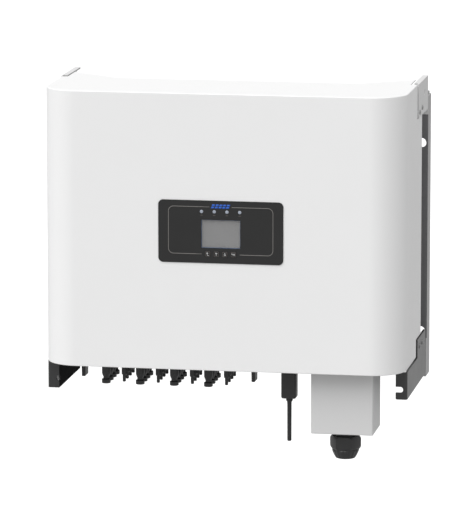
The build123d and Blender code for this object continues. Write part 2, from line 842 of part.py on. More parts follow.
with BuildPart() as surge_arresters:
    for x in spaced(arrester_count, arrester_pitch):
        with BuildSketch(Plane.YZ.offset(x)):
            with Locations((front_y + power_board_d - arrester_r, up(arrester_mid))):
                Circle(arrester_r)
        extrude(amount=arrester_t)
surge_arresters.part.label = "surge_arresters"
export_step(surge_arresters.part, "parts/surge_arresters.step")

with BuildPart() as boost_chokes:
    with BuildSketch(front_plane(cover_side_d)):
        with Locations(*[(x, up(choke_mid)) for x in spaced(choke_count, choke_pitch)]):
            Rectangle(choke_w, choke_h)
    extrude(amount=choke_d)
boost_chokes.part.label = "boost_chokes"
export_step(boost_chokes.part, "parts/boost_chokes.step")

with BuildPart() as filter_chokes:
    with BuildSketch(front_plane(cover_side_d)):
        with Locations(*[(x, up(filter_mid)) for x in spaced(filter_count, filter_pitch)]):
            Circle(filter_r)
            Circle(filter_hole_r, mode=Mode.SUBTRACT)
    extrude(amount=filter_d)
filter_chokes.part.label = "filter_chokes"
export_step(filter_chokes.part, "parts/filter_chokes.step")

with BuildPart() as control_board:
    with BuildSketch(front_plane(control_d)):
        with Locations((0, up(control_mid))):
            Rectangle(control_w, control_h)
    extrude(amount=-board_t)
    with BuildSketch(front_plane(control_d + board_t)):
        with Locations((0, up(control_mid))):
            with GridLocations(control_w - 2 * post_inset, control_h - 2 * post_inset, 2, 2):
                Circle(post_r)
    extrude(amount=-(power_board_d - control_d - board_t))
control_board.part.label = "control_board"
export_step(control_board.part, "parts/control_board.step")

# Fan tray, fan frames and fan wheels under the fins
fan_mid_d = cover_side_d + sink_base_t + fan_size / 2
fan_places = {"left": -fan_x, "middle": 0.0, "right": fan_x}
fan_spots = [plan(x, fan_mid_d) for x in fan_places.values()]
with BuildPart() as fan_tray:
    with BuildSketch(level(fan_low)):
        with Locations(plan(0, (cover_side_d + fan_mid_d + fan_size / 2) / 2)):
            Rectangle(sink_w, fan_mid_d + fan_size / 2 - cover_side_d)
        for x in fan_places.values():
            for offset_x in spaced(guard_slot_count, 2 * fan_bore_r / guard_slot_count - fan_tip_gap / 2):
                slot_len = 2 * (fan_bore_r ** 2 - offset_x ** 2) ** 0.5
                with Locations(plan(x + offset_x, fan_mid_d)):
                    SlotOverall(slot_len, guard_slot_w, rotation=90, mode=Mode.SUBTRACT)
    extrude(amount=-tray_t)
    with BuildSketch(front_plane(cover_side_d)):
        with Locations((0, up((fan_low + sink_low - seam) / 2))):
            Rectangle(sink_w, sink_low - seam - fan_low)
    extrude(amount=-tray_t)
fan_tray.part.label = "fan_tray"
export_step(fan_tray.part, "parts/fan_tray.step")

with BuildPart() as fan_frames:
    with BuildSketch(level(fan_low)):
        with Locations(*fan_spots):
            Rectangle(fan_size, fan_size)
            Circle(fan_bore_r, mode=Mode.SUBTRACT)
    extrude(amount=fan_t)
    with BuildSketch(level(fan_low)):
        for x in fan_places.values():
            with Locations(plan(x, fan_mid_d)):
                Circle(fan_hub_r)
                with PolarLocations((fan_bore_r + fan_hub_r) / 2, fan_strut_count):
                    Rectangle(fan_bore_r - fan_hub_r + 2 * fan_wall, fan_strut_w)
        with Locations(*fan_spots):
            Circle(fan_shaft_r + fan_shaft_clear, mode=Mode.SUBTRACT)
    extrude(amount=fan_strut_t)
fan_frames.part.label = "fan_frames"
export_step(fan_frames.part, "parts/fan_frames.step")

hub_low = fan_low + fan_strut_t + fan_stand
hub_high = fan_low + fan_t - fan_stand
blade_len = fan_bore_r - fan_tip_gap - fan_hub_r + fan_wall
blade_mid = fan_bore_r - fan_tip_gap - blade_len / 2
for place, x in fan_places.items():
    with BuildPart() as fan_wheel:
        with BuildSketch(level(hub_low)):
            with Locations(plan(x, fan_mid_d)):
                Circle(fan_hub_r)
        extrude(amount=hub_high - hub_low)
        with BuildSketch(level(fan_low + fan_stand)):
            with Locations(plan(x, fan_mid_d)):
                Circle(fan_shaft_r)
        extrude(amount=hub_low - fan_low)
        for turn in range(fan_blades):
            blade_plane = Plane(
                origin=(x, front_y + fan_mid_d, up((hub_low + hub_high) / 2))
            ).rotated((0, 0, turn * 360 / fan_blades))
            with Locations(blade_plane.location):
                with Locations(Location((blade_mid, 0, 0), (fan_blade_tilt, 0, 0))):
                    Box(blade_len, fan_blade_w, fan_blade_t)
    fan_wheel.part.label = f"fan_wheel_{place}"
    export_step(fan_wheel.part, f"parts/fan_wheel_{place}.step")

# Solar sockets: turned bodies with a dust cap on the wide ones and a slim nose on the narrow ones
socket_top_z = floor_z + chassis_t + socket_tail
wide_waist_z = bottom_z - wide_low + wide_cap_t
with BuildPart() as wide_socket:
    with BuildSketch(Plane.XZ):
        with BuildLine():
            Polyline((0, socket_top_z), (socket_thread_r, socket_top_z),
                     (socket_thread_r, floor_z), (socket_flange_r, floor_z),
                     (socket_flange_r, floor_z - socket_flange_t), (wide_r, floor_z - socket_flange_t),
                     (wide_r, wide_waist_z + wide_waist_t + wide_taper_t),
                     (wide_waist_r, wide_waist_z + wide_waist_t),
                     (wide_waist_r, wide_waist_z), (wide_r, wide_waist_z),
                     (wide_r, bottom_z - wide_low), (0, bottom_z - wide_low), close=True)
        make_face()
    revolve(axis=Axis.Z)

with BuildPart() as narrow_socket:
    with BuildSketch(Plane.XZ):
        with BuildLine():
            Polyline((0, socket_top_z), (socket_thread_r, socket_top_z),
                     (socket_thread_r, floor_z), (socket_flange_r, floor_z),
                     (socket_flange_r, floor_z - socket_flange_t), (narrow_r, floor_z - socket_flange_t),
                     (narrow_r, bottom_z - narrow_low + narrow_nose_t + narrow_taper_t),
                     (narrow_nose_r, bottom_z - narrow_low + narrow_nose_t),
                     (narrow_nose_r, bottom_z - narrow_low), (0, bottom_z - narrow_low), close=True)
        make_face()
    revolve(axis=Axis.Z)

with BuildPart() as solar_sockets_wide:
    with Locations(*wide_places):
        add(wide_socket.part)
solar_sockets_wide.part.label = "solar_sockets_wide"
export_step(solar_sockets_wide.part, "parts/solar_sockets_wide.step")

with BuildPart() as solar_sockets_narrow:
    with Locations(*narrow_places):
        add(narrow_socket.part)
solar_sockets_narrow.part.label = "solar_sockets_narrow"
export_step(solar_sockets_narrow.part, "parts/solar_sockets_narrow.step")

with BuildPart() as socket_nuts:
    with BuildSketch(Plane.XY.offset(floor_z + chassis_t)):
        with Locations(*wide_places, *narrow_places):
            RegularPolygon(nut_r, hex_sides)
            Circle(socket_thread_r, mode=Mode.SUBTRACT)
    extrude(amount=nut_t)
socket_nuts.part.label = "socket_nuts"
export_step(socket_nuts.part, "parts/socket_nuts.step")

# Solar isolators: a switch block above the floor and a grip knob below it
knob_top_z = floor_z - seam - knob_gap
with BuildPart() as isolator_blocks:
    with BuildSketch(Plane.XY.offset(floor_z + chassis_t)):
        with Locations(*isolator_places):
            Rectangle(isolator_body, isolator_body)
    extrude(amount=isolator_body_h)
    with BuildSketch(Plane.XY.offset(floor_z - seam)):
        with Locations(*isolator_places):
            Circle(isolator_neck_r)
    extrude(amount=chassis_t + seam)
    with BuildSketch(Plane.XY.offset(floor_z - seam)):
        with Locations(*isolator_places):
            Circle(isolator_shaft_r + isolator_shaft_clear)
    extrude(amount=isolator_shaft_run + seam + small_gap, mode=Mode.SUBTRACT)
isolator_blocks.part.label = "isolator_blocks"
export_step(isolator_blocks.part, "parts/isolator_blocks.step")

for side, place in zip(sides, isolator_places):
    with BuildPart() as isolator_knob:
        with BuildSketch(Plane.XY.offset(knob_top_z)):
            with Locations(place):
                Circle(knob_r)
        extrude(amount=-knob_disc_t)
        fillet(edges().group_by(Axis.Z)[0], seam)
        with BuildSketch(Plane.XY.offset(knob_top_z - knob_disc_t)):
            with Locations(place):
                Rectangle(grip_w, grip_len)
        with BuildSketch(Plane.XY.offset(bottom_z - knob_low)):
            with Locations(place):
                Rectangle(grip_tip_w, grip_tip_len)
        loft()
        fillet(edges().group_by(Axis.Z)[0], seam)
        with BuildSketch(Plane.XY.offset(knob_top_z)):
            with Locations(place):
                Circle(isolator_shaft_r)
        extrude(amount=isolator_shaft_run + seam)
    isolator_knob.part.label = f"isolator_knob_{side}"
    export_step(isolator_knob.part, f"parts/isolator_knob_{side}.step")

# Data logger: coupling ring, stick and antenna
logger_place = plan(logger_x, logger_d)
logger_top_z = floor_z - logger_top_gap
with BuildPart() as logger_ring:
    with BuildSketch(Plane.XY.offset(floor_z)):
        with Locations(logger_place):
            Circle(logger_ring_r)
            Circle(logger_neck_r, mode=Mode.SUBTRACT)
    extrude(amount=-logger_top_gap)
logger_ring.part.label = "logger_ring"
export_step(logger_ring.part, "parts/logger_ring.step")

with BuildPart() as logger_body:
    with BuildSketch(Plane.XY.offset(bottom_z - logger_low)):
        with Locations(logger_place):
            RectangleRounded(logger_w, logger_w, logger_r)
    extrude(amount=logger_top_z - bottom_z + logger_low)
    fillet(edges().group_by(Axis.Z)[0], logger_r - seam)
    with BuildSketch(Plane.XY.offset(logger_top_z)):
        with Locations(logger_place):
            Circle(logger_neck_r)
    extrude(amount=logger_top_gap + chassis_t)
logger_body.part.label = "logger_body"
export_step(logger_body.part, "parts/logger_body.step")

with BuildPart() as logger_antenna:
    with BuildSketch(Plane.XY.offset(bottom_z - logger_low)):
        with Locations(logger_place):
            Circle(antenna_root_r)
    with BuildSketch(Plane.XY.offset(bottom_z - logger_low - antenna_root_t)):
        with Locations(logger_place):
            Circle(antenna_r)
    loft()
    with BuildSketch(Plane.XY.offset(bottom_z - logger_low - antenna_root_t)):
        with Locations(logger_place):
            Circle(antenna_r)
    extrude(amount=-(antenna_low - logger_low - antenna_root_t))
    fillet(edges().group_by(Axis.Z)[0], antenna_r - small_gap)
logger_antenna.part.label = "logger_antenna"
export_step(logger_antenna.part, "parts/logger_antenna.step")

# Grid wiring box under the chassis
box_place = plan(box_x, box_mid_d)
box_low_z = bottom_z - box_low
with BuildPart() as box_gasket:
    with BuildSketch(Plane.XY.offset(floor_z)):
        with Locations(box_place):
            Rectangle(box_w, box_d)
            Rectangle(box_window_w, box_window_d, mode=Mode.SUBTRACT)
    extrude(amount=-box_rim_t)
box_gasket.part.label = "box_gasket"
export_step(box_gasket.part, "parts/box_gasket.step")

with BuildPart() as grid_box:
    with BuildSketch(Plane.XY.offset(box_low_z)):
        with Locations(box_place):
            RectangleRounded(box_w, box_d, box_r)
    extrude(amount=floor_z - box_rim_t - box_low_z)
    fillet(edges().group_by(Axis.Z)[0], box_r - seam)
    with BuildSketch(Plane.XY.offset(box_low_z + box_t)):
        with Locations(box_place):
            Rectangle(box_w - 2 * box_t, box_d - 2 * box_t)
    extrude(amount=floor_z - box_low_z, mode=Mode.SUBTRACT)
    with BuildSketch(Plane.XY.offset(box_low_z)):
        with Locations(box_place):
            Circle(gland_hole_r)
    extrude(amount=box_t, mode=Mode.SUBTRACT)
grid_box.part.label = "grid_box"
export_step(grid_box.part, "parts/grid_box.step")

with BuildPart() as grid_terminals:
    with BuildSketch(Plane.XY.offset(floor_z + chassis_t)):
        with Locations(box_place):
            Rectangle(box_w, terminal_d)
    extrude(amount=chassis_t)
    with BuildSketch(Plane.XY.offset(floor_z + 2 * chassis_t)):
        with Locations(*[plan(x, box_mid_d) for x in spaced(terminal_count, terminal_pitch, box_x)]):
            Rectangle(terminal_w, terminal_d)
    extrude(amount=terminal_h)
    with BuildSketch(Plane.XY.offset(floor_z + 2 * chassis_t + terminal_h)):
        with Locations(*[plan(x, box_mid_d) for x in spaced(terminal_count, terminal_pitch, box_x)]):
            Circle(terminal_screw_r)
    extrude(amount=terminal_screw_t)
grid_terminals.part.label = "grid_terminals"
export_step(grid_terminals.part, "parts/grid_terminals.step")

# Cable gland: body, lock nut, dome nut and seal
gland_hex_z = box_low_z - gland_hex_t
thread_r = gland_hole_r - gland_hole_clear
neck_r = gland_bore_r + gland_wall
with BuildPart() as gland_body:
    with BuildSketch(Plane.XY.offset(box_low_z)):
        with Locations(box_place):
            RegularPolygon(gland_hex_r, hex_sides)
    extrude(amount=-gland_hex_t)
    with BuildSketch(Plane.XY.offset(box_low_z)):
        with Locations(box_place):
            Circle(thread_r)
    extrude(amount=box_t + gland_locknut_t + seam)
    with BuildSketch(Plane.XY.offset(gland_hex_z)):
        with Locations(box_place):
            Circle(neck_r)
    extrude(amount=-gland_nut_t)
    with BuildSketch(Plane.XY.offset(box_low_z + box_t + gland_locknut_t + seam)):
        with Locations(box_place):
            Circle(gland_bore_r)
    extrude(amount=-(box_t + gland_locknut_t + seam + gland_hex_t + gland_nut_t), mode=Mode.SUBTRACT)
gland_body.part.label = "gland_body"
export_step(gland_body.part, "parts/gland_body.step")

with BuildPart() as gland_locknut:
    with BuildSketch(Plane.XY.offset(box_low_z + box_t)):
        with Locations(box_place):
            RegularPolygon(gland_locknut_r, hex_sides)
            Circle(thread_r, mode=Mode.SUBTRACT)
    extrude(amount=gland_locknut_t)
gland_locknut.part.label = "gland_locknut"
export_step(gland_locknut.part, "parts/gland_locknut.step")

nut_top_z = gland_hex_z - gland_nut_gap
nut_mid_z = nut_top_z - gland_nut_t
nut_low_z = nut_mid_z - gland_taper_t
with BuildPart() as gland_nut:
    with BuildSketch(Plane.XY.offset(nut_top_z)):
        with Locations(box_place):
            RegularPolygon(gland_nut_r, hex_sides)
    extrude(amount=-gland_nut_t)
    with BuildSketch(Plane.XY.offset(nut_mid_z)):
        with Locations(box_place):
            Circle(gland_hex_r)
    with BuildSketch(Plane.XY.offset(nut_low_z)):
        with Locations(box_place):
            Circle(gland_mouth_r)
    loft()
    with BuildSketch(Plane.XY.offset(nut_top_z)):
        with Locations(box_place):
            Circle(neck_r)
    extrude(amount=-gland_nut_t, mode=Mode.SUBTRACT)
    with BuildSketch(Plane.XY.offset(nut_mid_z)):
        with Locations(box_place):
            Circle(gland_bore_r)
    extrude(amount=-gland_taper_t, mode=Mode.SUBTRACT)
gland_nut.part.label = "gland_nut"
export_step(gland_nut.part, "parts/gland_nut.step")

with BuildPart() as gland_seal:
    with BuildSketch(Plane.XY.offset(nut_mid_z)):
        with Locations(box_place):
            Circle(gland_bore_r)
            Circle(seal_bore_r, mode=Mode.SUBTRACT)
    extrude(amount=seal_len)
gland_seal.part.label = "gland_seal"
export_step(gland_seal.part, "parts/gland_seal.step")

# Socket-head screws in the corner plates and feet
with BuildPart() as side_screws:
    for sign in sides.values():
        screw_x = sign * (cover_w / 2 + plate_out)
        screw_spots = [(front_y + cover_top_d + ear_seam + a, top_z - ear_h + b) for a, b in ear_screws]
        screw_spots += [(front_y + cover_top_d + a, bottom_z + b) for a, b in foot_screws]
        with BuildSketch(Plane.YZ.offset(screw_x)):
            with Locations(*screw_spots):
                Circle(screw_head_r)
        extrude(amount=sign * screw_head_t)
        with BuildSketch(Plane.YZ.offset(screw_x + sign * screw_head_t)):
            with Locations(*screw_spots):
                RegularPolygon(screw_socket_r, hex_sides)
        extrude(amount=-sign * screw_head_t / 2, mode=Mode.SUBTRACT)
        with BuildSketch(Plane.YZ.offset(screw_x)):
            with Locations(*screw_spots):
                Circle(screw_shank_r)
        extrude(amount=-sign * screw_run)
side_screws.part.label = "side_screws"
export_step(side_screws.part, "parts/side_screws.step")

# Breather valve and earth stud under the chassis
with BuildPart() as vent_valve:
    with BuildSketch(Plane.XY.offset(floor_z)):
        with Locations(plan(valve_x, box_mid_d)):
            Circle(valve_r)
    extrude(amount=-valve_t)
    fillet(edges().group_by(Axis.Z)[0], seam)
    with BuildSketch(Plane.XY.offset(floor_z)):
        with Locations(plan(valve_x, box_mid_d)):
            Circle(valve_thread_r)
    extrude(amount=chassis_t + seam)
vent_valve.part.label = "vent_valve"
export_step(vent_valve.part, "parts/vent_valve.step")

stud_place = plan(stud_x, box_mid_d + stud_back)
with BuildPart() as earth_stud:
    with BuildSketch(Plane.XY.offset(floor_z + chassis_t)):
        with Locations(stud_place):
            Circle(stud_r)
    extrude(amount=-(chassis_t + stud_len))
    with BuildSketch(Plane.XY.offset(floor_z)):
        with Locations(stud_place):
            RegularPolygon(lug_nut_r, hex_sides)
    extrude(amount=-lug_nut_t)
earth_stud.part.label = "earth_stud"
export_step(earth_stud.part, "parts/earth_stud.step")
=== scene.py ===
import math

import bmesh
import bpy
import numpy as np
from bpy.props import FloatProperty, FloatVectorProperty, IntProperty, PointerProperty
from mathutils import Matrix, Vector


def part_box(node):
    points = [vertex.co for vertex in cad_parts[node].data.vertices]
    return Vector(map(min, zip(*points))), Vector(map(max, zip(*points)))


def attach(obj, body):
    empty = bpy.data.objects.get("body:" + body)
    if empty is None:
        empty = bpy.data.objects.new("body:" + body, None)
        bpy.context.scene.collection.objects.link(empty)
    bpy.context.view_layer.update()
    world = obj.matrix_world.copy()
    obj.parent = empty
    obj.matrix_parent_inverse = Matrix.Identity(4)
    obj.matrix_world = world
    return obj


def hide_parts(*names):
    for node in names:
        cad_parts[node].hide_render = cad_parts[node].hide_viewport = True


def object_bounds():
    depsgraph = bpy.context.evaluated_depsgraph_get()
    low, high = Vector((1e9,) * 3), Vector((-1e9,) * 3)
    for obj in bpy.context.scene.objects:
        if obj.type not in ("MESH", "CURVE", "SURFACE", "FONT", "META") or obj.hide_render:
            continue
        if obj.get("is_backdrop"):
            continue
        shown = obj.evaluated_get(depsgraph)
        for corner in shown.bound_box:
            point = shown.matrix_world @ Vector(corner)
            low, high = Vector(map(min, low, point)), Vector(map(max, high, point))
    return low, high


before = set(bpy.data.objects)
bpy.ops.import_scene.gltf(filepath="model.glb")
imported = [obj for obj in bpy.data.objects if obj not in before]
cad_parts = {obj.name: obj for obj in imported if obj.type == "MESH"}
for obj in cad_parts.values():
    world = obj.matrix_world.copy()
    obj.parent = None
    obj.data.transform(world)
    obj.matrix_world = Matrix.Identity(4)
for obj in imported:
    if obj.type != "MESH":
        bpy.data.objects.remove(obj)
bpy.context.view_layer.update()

bl_info = {
    "name": "String inverter looks",
    "version": (1, 0, 0),
    "blender": (4, 5, 0),
    "location": "3D View > Sidebar > Inverter",
    "description": "Dresses the packed string inverter and sets its studio",
    "category": "Object",
}

MM = 0.001
HULL = "inverter"
CREASE = 32.0
BLADE_SIDES = 24
SOCKET_THREAD = 6 * MM
SOCKETS_PER_ROW = 4
LAMPS = 4
LAMP_RADIUS = 2.9 * MM
LAMP_DEPTH = 7.5 * MM
LAMP_DOME = 0.5 * MM
INK_GAP = 0.04 * MM
INK_FILM = 0.05 * MM


# ---------------------------------------------------------------- sizes and colours

def length(name, description, millimetres):
    """A size that a user can change, whose default is given in millimetres."""
    return FloatProperty(name=name, description=description, default=millimetres * MM, min=0.0, unit="LENGTH",
                         precision=5)


def strength(name, description, default):
    """A plain number that a user can change."""
    return FloatProperty(name=name, description=description, default=default)


def colour(name, description, default):
    """A linear colour that a user can change."""
    return FloatVectorProperty(name=name, description=description, default=default, size=3, min=0.0, max=1.0,
                               subtype="COLOR")


class CoverSizes(bpy.types.PropertyGroup):
    """Sizes of the bent front cover."""
    corner: length("Corner radius", "Radius of the two upright bends", 60)
    edge: length("Edge radius", "Radius along the top and bottom edges", 1.6)
    sheet: length("Sheet", "Thickness of the sheet", 2)
    hem: length("Hem", "Width of the strip turned in along the bottom", 12)
    top_depth: length("Top depth", "Depth of the top plate", 176)
    side_depth: length("Side depth", "Depth of the side walls", 236.5)
    notch_low: length("Lower notch", "Height of the notch above each foot", 33)
    notch_high: length("Upper notch", "Height of the notch under each corner plate", 61.5)
    tab_root: length("Tab root", "Where each rear corner tab starts, from the middle", 215)
    tab_side: length("Tab side", "Where each rear corner tab ends, from the middle", 306.5)
    tab_depth: length("Tab depth", "Depth of the rear corner tabs", 240)
    opening_w: length("Opening width", "Width of the display opening", 190.6)
    opening_h: length("Opening height", "Height of the display opening", 92.6)


class SheetSizes(bpy.types.PropertyGroup):
    """How the edges of cut and bent sheet are finished."""
    plate_edge: length("Plate edge", "Rounding along the edges of plates and rails", 0.45)
    box_edge: length("Box edge", "Rounding along the edges of the wiring box", 0.9)
    panel_edge: length("Panel edge", "Rounding along the edge of the display panel", 0.35)


class DisplaySizes(bpy.types.PropertyGroup):
    """Sizes of the printed marks on the display panel."""
    frame_w: length("Frame width", "Width of the printed frame", 184)
    frame_h: length("Frame height", "Height of the printed frame", 83)
    frame_corner: length("Frame corner", "Radius of the printed frame's corners", 9)
    frame_rise: length("Frame rise", "How far the frame's middle stands above the panel's", 2.4)
    line: length("Line", "Width of the printed frame line", 0.95)
    top_gap: length("Top gap", "Half width of the break for the emblem", 19.5)
    bottom_gap: length("Bottom gap", "Half width of the break for the keys", 33.5)
    glyph: length("Glyph", "Size of the arrow on each key", 5.2)
    stroke: length("Stroke", "Width of the arrow strokes", 0.85)
    emblem_w: length("Emblem width", "Width of the emblem", 33)
    emblem_h: length("Emblem height", "Height of the emblem", 8)


class SocketSizes(bpy.types.PropertyGroup):
    """Sizes of the solar sockets."""
    flange: length("Flange", "Radius of the hexagon flange", 10)
    flange_t: length("Flange height", "Height of the hexagon flange", 5)
    wide: length("Wide radius", "Radius of the wide cap", 7.6)
    waist: length("Waist radius", "Radius of the wide cap's waist", 5.2)
    narrow: length("Narrow radius", "Radius of the narrow cap", 4.6)
    nose: length("Nose radius", "Radius of the narrow cap's end", 2.9)
    rib: length("Rib", "Height of the grip ribs", 0.35)


class FittingSizes(bpy.types.PropertyGroup):
    """Sizes of the knobs, logger, gland and fans."""
    knob: length("Knob radius", "Radius of the isolator disc", 21)
    knob_disc: length("Knob disc", "Height of the isolator disc", 12)
    grip_w: length("Grip width", "Width of the isolator grip at its root", 8.5)
    grip_l: length("Grip length", "Length of the isolator grip at its root", 31)
    logger_w: length("Logger width", "Side of the logger stick", 26.3)
    antenna: length("Antenna radius", "Radius of the antenna", 3.9)
    antenna_root: length("Antenna root", "Radius of the antenna's root", 6)
    gland_hex: length("Gland hexagon", "Corner radius of the gland body", 24)
    gland_nut: length("Gland nut", "Radius of the gland nut", 27.6)
    gland_mouth: length("Gland mouth", "Radius of the gland nut's mouth", 17)
    gland_bore: length("Gland bore", "Radius of the gland nut's opening", 15.4)
    gland_neck: length("Gland neck", "Radius of the neck inside the gland nut", 18)
    seal_bore: length("Seal bore", "Radius of the hole through the rubber seal", 12)
    hub: length("Fan hub", "Radius of the fan hub", 10)
    blades: IntProperty(name="Blades", description="Blades on each fan wheel", default=7, min=3, max=13)


class FinishColours(bpy.types.PropertyGroup):
    """Colours of the finishes."""
    white: colour("Cover white", "Powder coat of the cover and corner plates", (0.80, 0.80, 0.80))
    # Painted shade: the cover's white made darker for the corner plates, which share its paint, to stand in
    # for the shade on their faces.
    plate: colour("Corner plates", "Powder coat of the corner plates", (0.65, 0.65, 0.65))
    graphite: colour("Frame grey", "Powder coat of the feet and chassis", (0.012, 0.012, 0.0125))
    zinc: colour("Bracket", "Zinc of the wall bracket", (0.41, 0.41, 0.41))
    # Painted light: a much lighter copy of the frame grey, which the rails share, standing in for the light
    # that reaches them in their shade.
    rail: colour("Side rails", "Paint of the side rails", (0.17, 0.17, 0.175))
    # Painted shade: near black that stands in for the shadow on the left foot's inner wall, not a coating the
    # foot has.
    inner: colour("Inner black", "Matt black inside the left foot", (0.004, 0.004, 0.004))
    box: colour("Wiring box", "Paint of the wiring box", (0.64, 0.64, 0.64))
    overlay: colour("Panel film", "Film on the display panel", (0.014, 0.014, 0.014))
    moulded: colour("Moulded black", "Plastic of the sockets, knobs, logger and gland",
                    (0.018, 0.018, 0.0185))
    emblem: colour("Emblem blue", "Ink of the emblem", (0.012, 0.11, 0.55))
    screen: colour("Screen", "Middle of the screen", (0.46, 0.46, 0.46))
    screen_rim: colour("Screen rim", "Rim of the screen", (0.06, 0.18, 0.46))


class StudioSettings(bpy.types.PropertyGroup):
    """Camera, floor and light."""
    camera_place: FloatVectorProperty(name="Camera", description="Where the camera stands", size=3,
                                      default=(1.38762, -8.10772, 1.34625), subtype="XYZ", unit="LENGTH")
    camera_heading: FloatVectorProperty(name="Aim", description="Which way the camera looks", size=3,
                                        default=(-0.16989, 0.96983, -0.17482), subtype="XYZ")
    lens: strength("Lens", "Focal length in millimetres", 315.1)
    floor_drop: length("Floor drop", "How far the floor is under the lowest point", 550)
    floor_size: length("Floor size", "Side of the floor", 80000)
    key_light: strength("Key light", "Strength of the light from the upper left", 2.2)
    fill_light: strength("Fill light", "Strength of the light from the front", 0.5)
    top_light: strength("Top light", "Strength of the light from above", 0.8)
    left_light: strength("Left light", "Strength of the light from the left", 0.45)
    floor_dim: strength("Floor dimming", "Share of its light that the floor sends back up", 0.49)
    surround: strength("Surround", "Strength of the light from all round", 0.5)


# ---------------------------------------------------------------- shapes as grids

def grid(points, wrap_rows=False, wrap_cols=False):
    """Vertices and quads of a grid of points: corner (i, j) is joined to (i, j+1), (i+1, j+1) and (i+1, j),
    and a wrapped direction joins its last line to its first."""
    rows, cols = points.shape[:2]
    i, j = np.meshgrid(np.arange(rows - (not wrap_rows)), np.arange(cols - (not wrap_cols)), indexing="ij")
    ni, nj = (i + 1) % rows, (j + 1) % cols
    quads = np.stack([i * cols + j, i * cols + nj, ni * cols + nj, ni * cols + j], axis=-1)
    return points.reshape(-1, 3), quads.reshape(-1, 4)


def joined(*shapes):
    """Several shapes as one: each shape's quads are counted on from the vertices before it."""
    starts = np.cumsum([0] + [len(v) for v, _ in shapes[:-1]])
    return np.vstack([v for v, _ in shapes]), np.vstack([f + s for (_, f), s in zip(shapes, starts)])


def repeated(shape, places):
    """A shape at several places: vertices plus each place, with the quads counted on."""
    points, quads = shape
    places = np.asarray(places, dtype=float)
    many = points[None] + places[:, None]
    counts = np.arange(len(places))[:, None, None] * len(points)
    return many.reshape(-1, 3), (quads[None] + counts).reshape(-1, 4)


def turned(profile, sides=48, swell=None):
    """A profile of (radius, height) carried round the Z axis: x = r cos a, y = r sin a. swell(a, z) is added
    to the radius of every point that isn't on the axis, for flutes, ribs and flats."""
    profile = np.asarray(profile, dtype=float)
    angle = np.linspace(0, 2 * np.pi, sides, endpoint=False)
    radius = np.repeat(profile[:, :1], sides, axis=1)
    height = np.repeat(profile[:, 1:2], sides, axis=1)
    if swell is not None:
        radius = np.where(radius > 1e-6, radius + swell(angle[None], height), radius)
    points = np.stack([radius * np.cos(angle), radius * np.sin(angle), height], axis=-1)
    return grid(points, wrap_cols=True)


def rounded_rectangle(width, depth, radius, steps=8):
    """Outline of a rectangle with round corners: for each quarter, the corner's centre plus radius times
    (cos a, sin a), with a running through that quarter."""
    angle = (np.arange(4)[:, None] + np.linspace(0, 1, steps)[None]) * np.pi / 2
    quarter = np.repeat((np.arange(4) + 0.5) * np.pi / 2, steps).reshape(4, steps)
    x = (width / 2 - radius) * np.sign(np.cos(quarter)) + radius * np.cos(angle)
    y = (depth / 2 - radius) * np.sign(np.sin(quarter)) + radius * np.sin(angle)
    return np.stack([x.ravel(), y.ravel()], axis=-1)


def lofted(sections, steps=8):
    """A closed body through level sections of (height, width, depth, radius): each section is a rounded
    rectangle at its height, and both ends close on their middles."""
    rings = [np.column_stack([rounded_rectangle(w, d, r, steps), np.full(4 * steps, z)])
             for z, w, d, r in sections]
    first, last = np.zeros_like(rings[0]), np.zeros_like(rings[0])
    first[:, 2], last[:, 2] = sections[0][0], sections[-1][0]
    return grid(np.stack([first, *rings, last]), wrap_cols=True)


def six_sided(corner_radius):
    """Swell that turns a round into a hexagon with a corner on the X axis: apothem over cos of the angle from
    the nearest flat, less the corner radius."""
    def swell(angle, height):
        from_flat = angle % (np.pi / 3) - np.pi / 6
        return corner_radius * (math.cos(math.pi / 6) / np.cos(from_flat) - 1) + height * 0
    return swell


def ribbed(count, height_of_rib, low, high):
    """Swell of upright ribs between two heights: the rib height times the positive part of cos(count a)."""
    def swell(angle, height):
        return height_of_rib * np.maximum(np.cos(count * angle), 0) * ((height > low) & (height < high))
    return swell


def moved(shape, place):
    """A shape carried to a place."""
    return shape[0] + np.asarray(place, dtype=float), shape[1]


def facing_front(shape):
    """A shape whose Z axis is turned to point out of the front: (x, y, z) becomes (x, -z, y)."""
    x, y, z = shape[0].T
    return np.stack([x, -z, y], axis=-1), shape[1]


def ribbon(path, width, depth):
    """A flat printed line along an open path of (x, z) on a plane at a depth: the path plus and minus half
    its width along the path's normal, which is the tangent turned a quarter."""
    path = np.asarray(path, dtype=float)
    tangent = np.gradient(path, axis=0)
    tangent /= np.linalg.norm(tangent, axis=1, keepdims=True)
    normal = np.stack([-tangent[:, 1], tangent[:, 0]], axis=-1)
    edges = np.stack([path + normal * width / 2, path - normal * width / 2])
    points = np.stack([edges[..., 0], np.full(edges.shape[:2], depth), edges[..., 1]], axis=-1)
    return grid(points)


def straight(start, end, steps=3):
    """Evenly spaced points of a straight run: start plus t times (end - start)."""
    t = np.linspace(0, 1, steps)[:, None]
    return np.asarray(start)[None] * (1 - t) + np.asarray(end)[None] * t


# ---------------------------------------------------------------- pieces

def set_piece(name, shape, finish, body=HULL, stands_for=(), crease=CREASE, closed=True, slot=None):
    """Puts a shape into a new object whose edges are sharp where they bend more than crease degrees."""
    points, quads = shape
    mesh = bpy.data.meshes.new(name)
    mesh.from_pydata(points.tolist(), [], quads.tolist())
    work = bmesh.new()
    work.from_mesh(mesh)
    bmesh.ops.remove_doubles(work, verts=work.verts, dist=1e-6)
    bmesh.ops.dissolve_degenerate(work, edges=work.edges, dist=1e-7)
    if closed:
        bmesh.ops.recalc_face_normals(work, faces=work.faces)
    work.to_mesh(mesh)
    work.free()
    return placed(name, mesh, finish, body, stands_for, crease, slot)


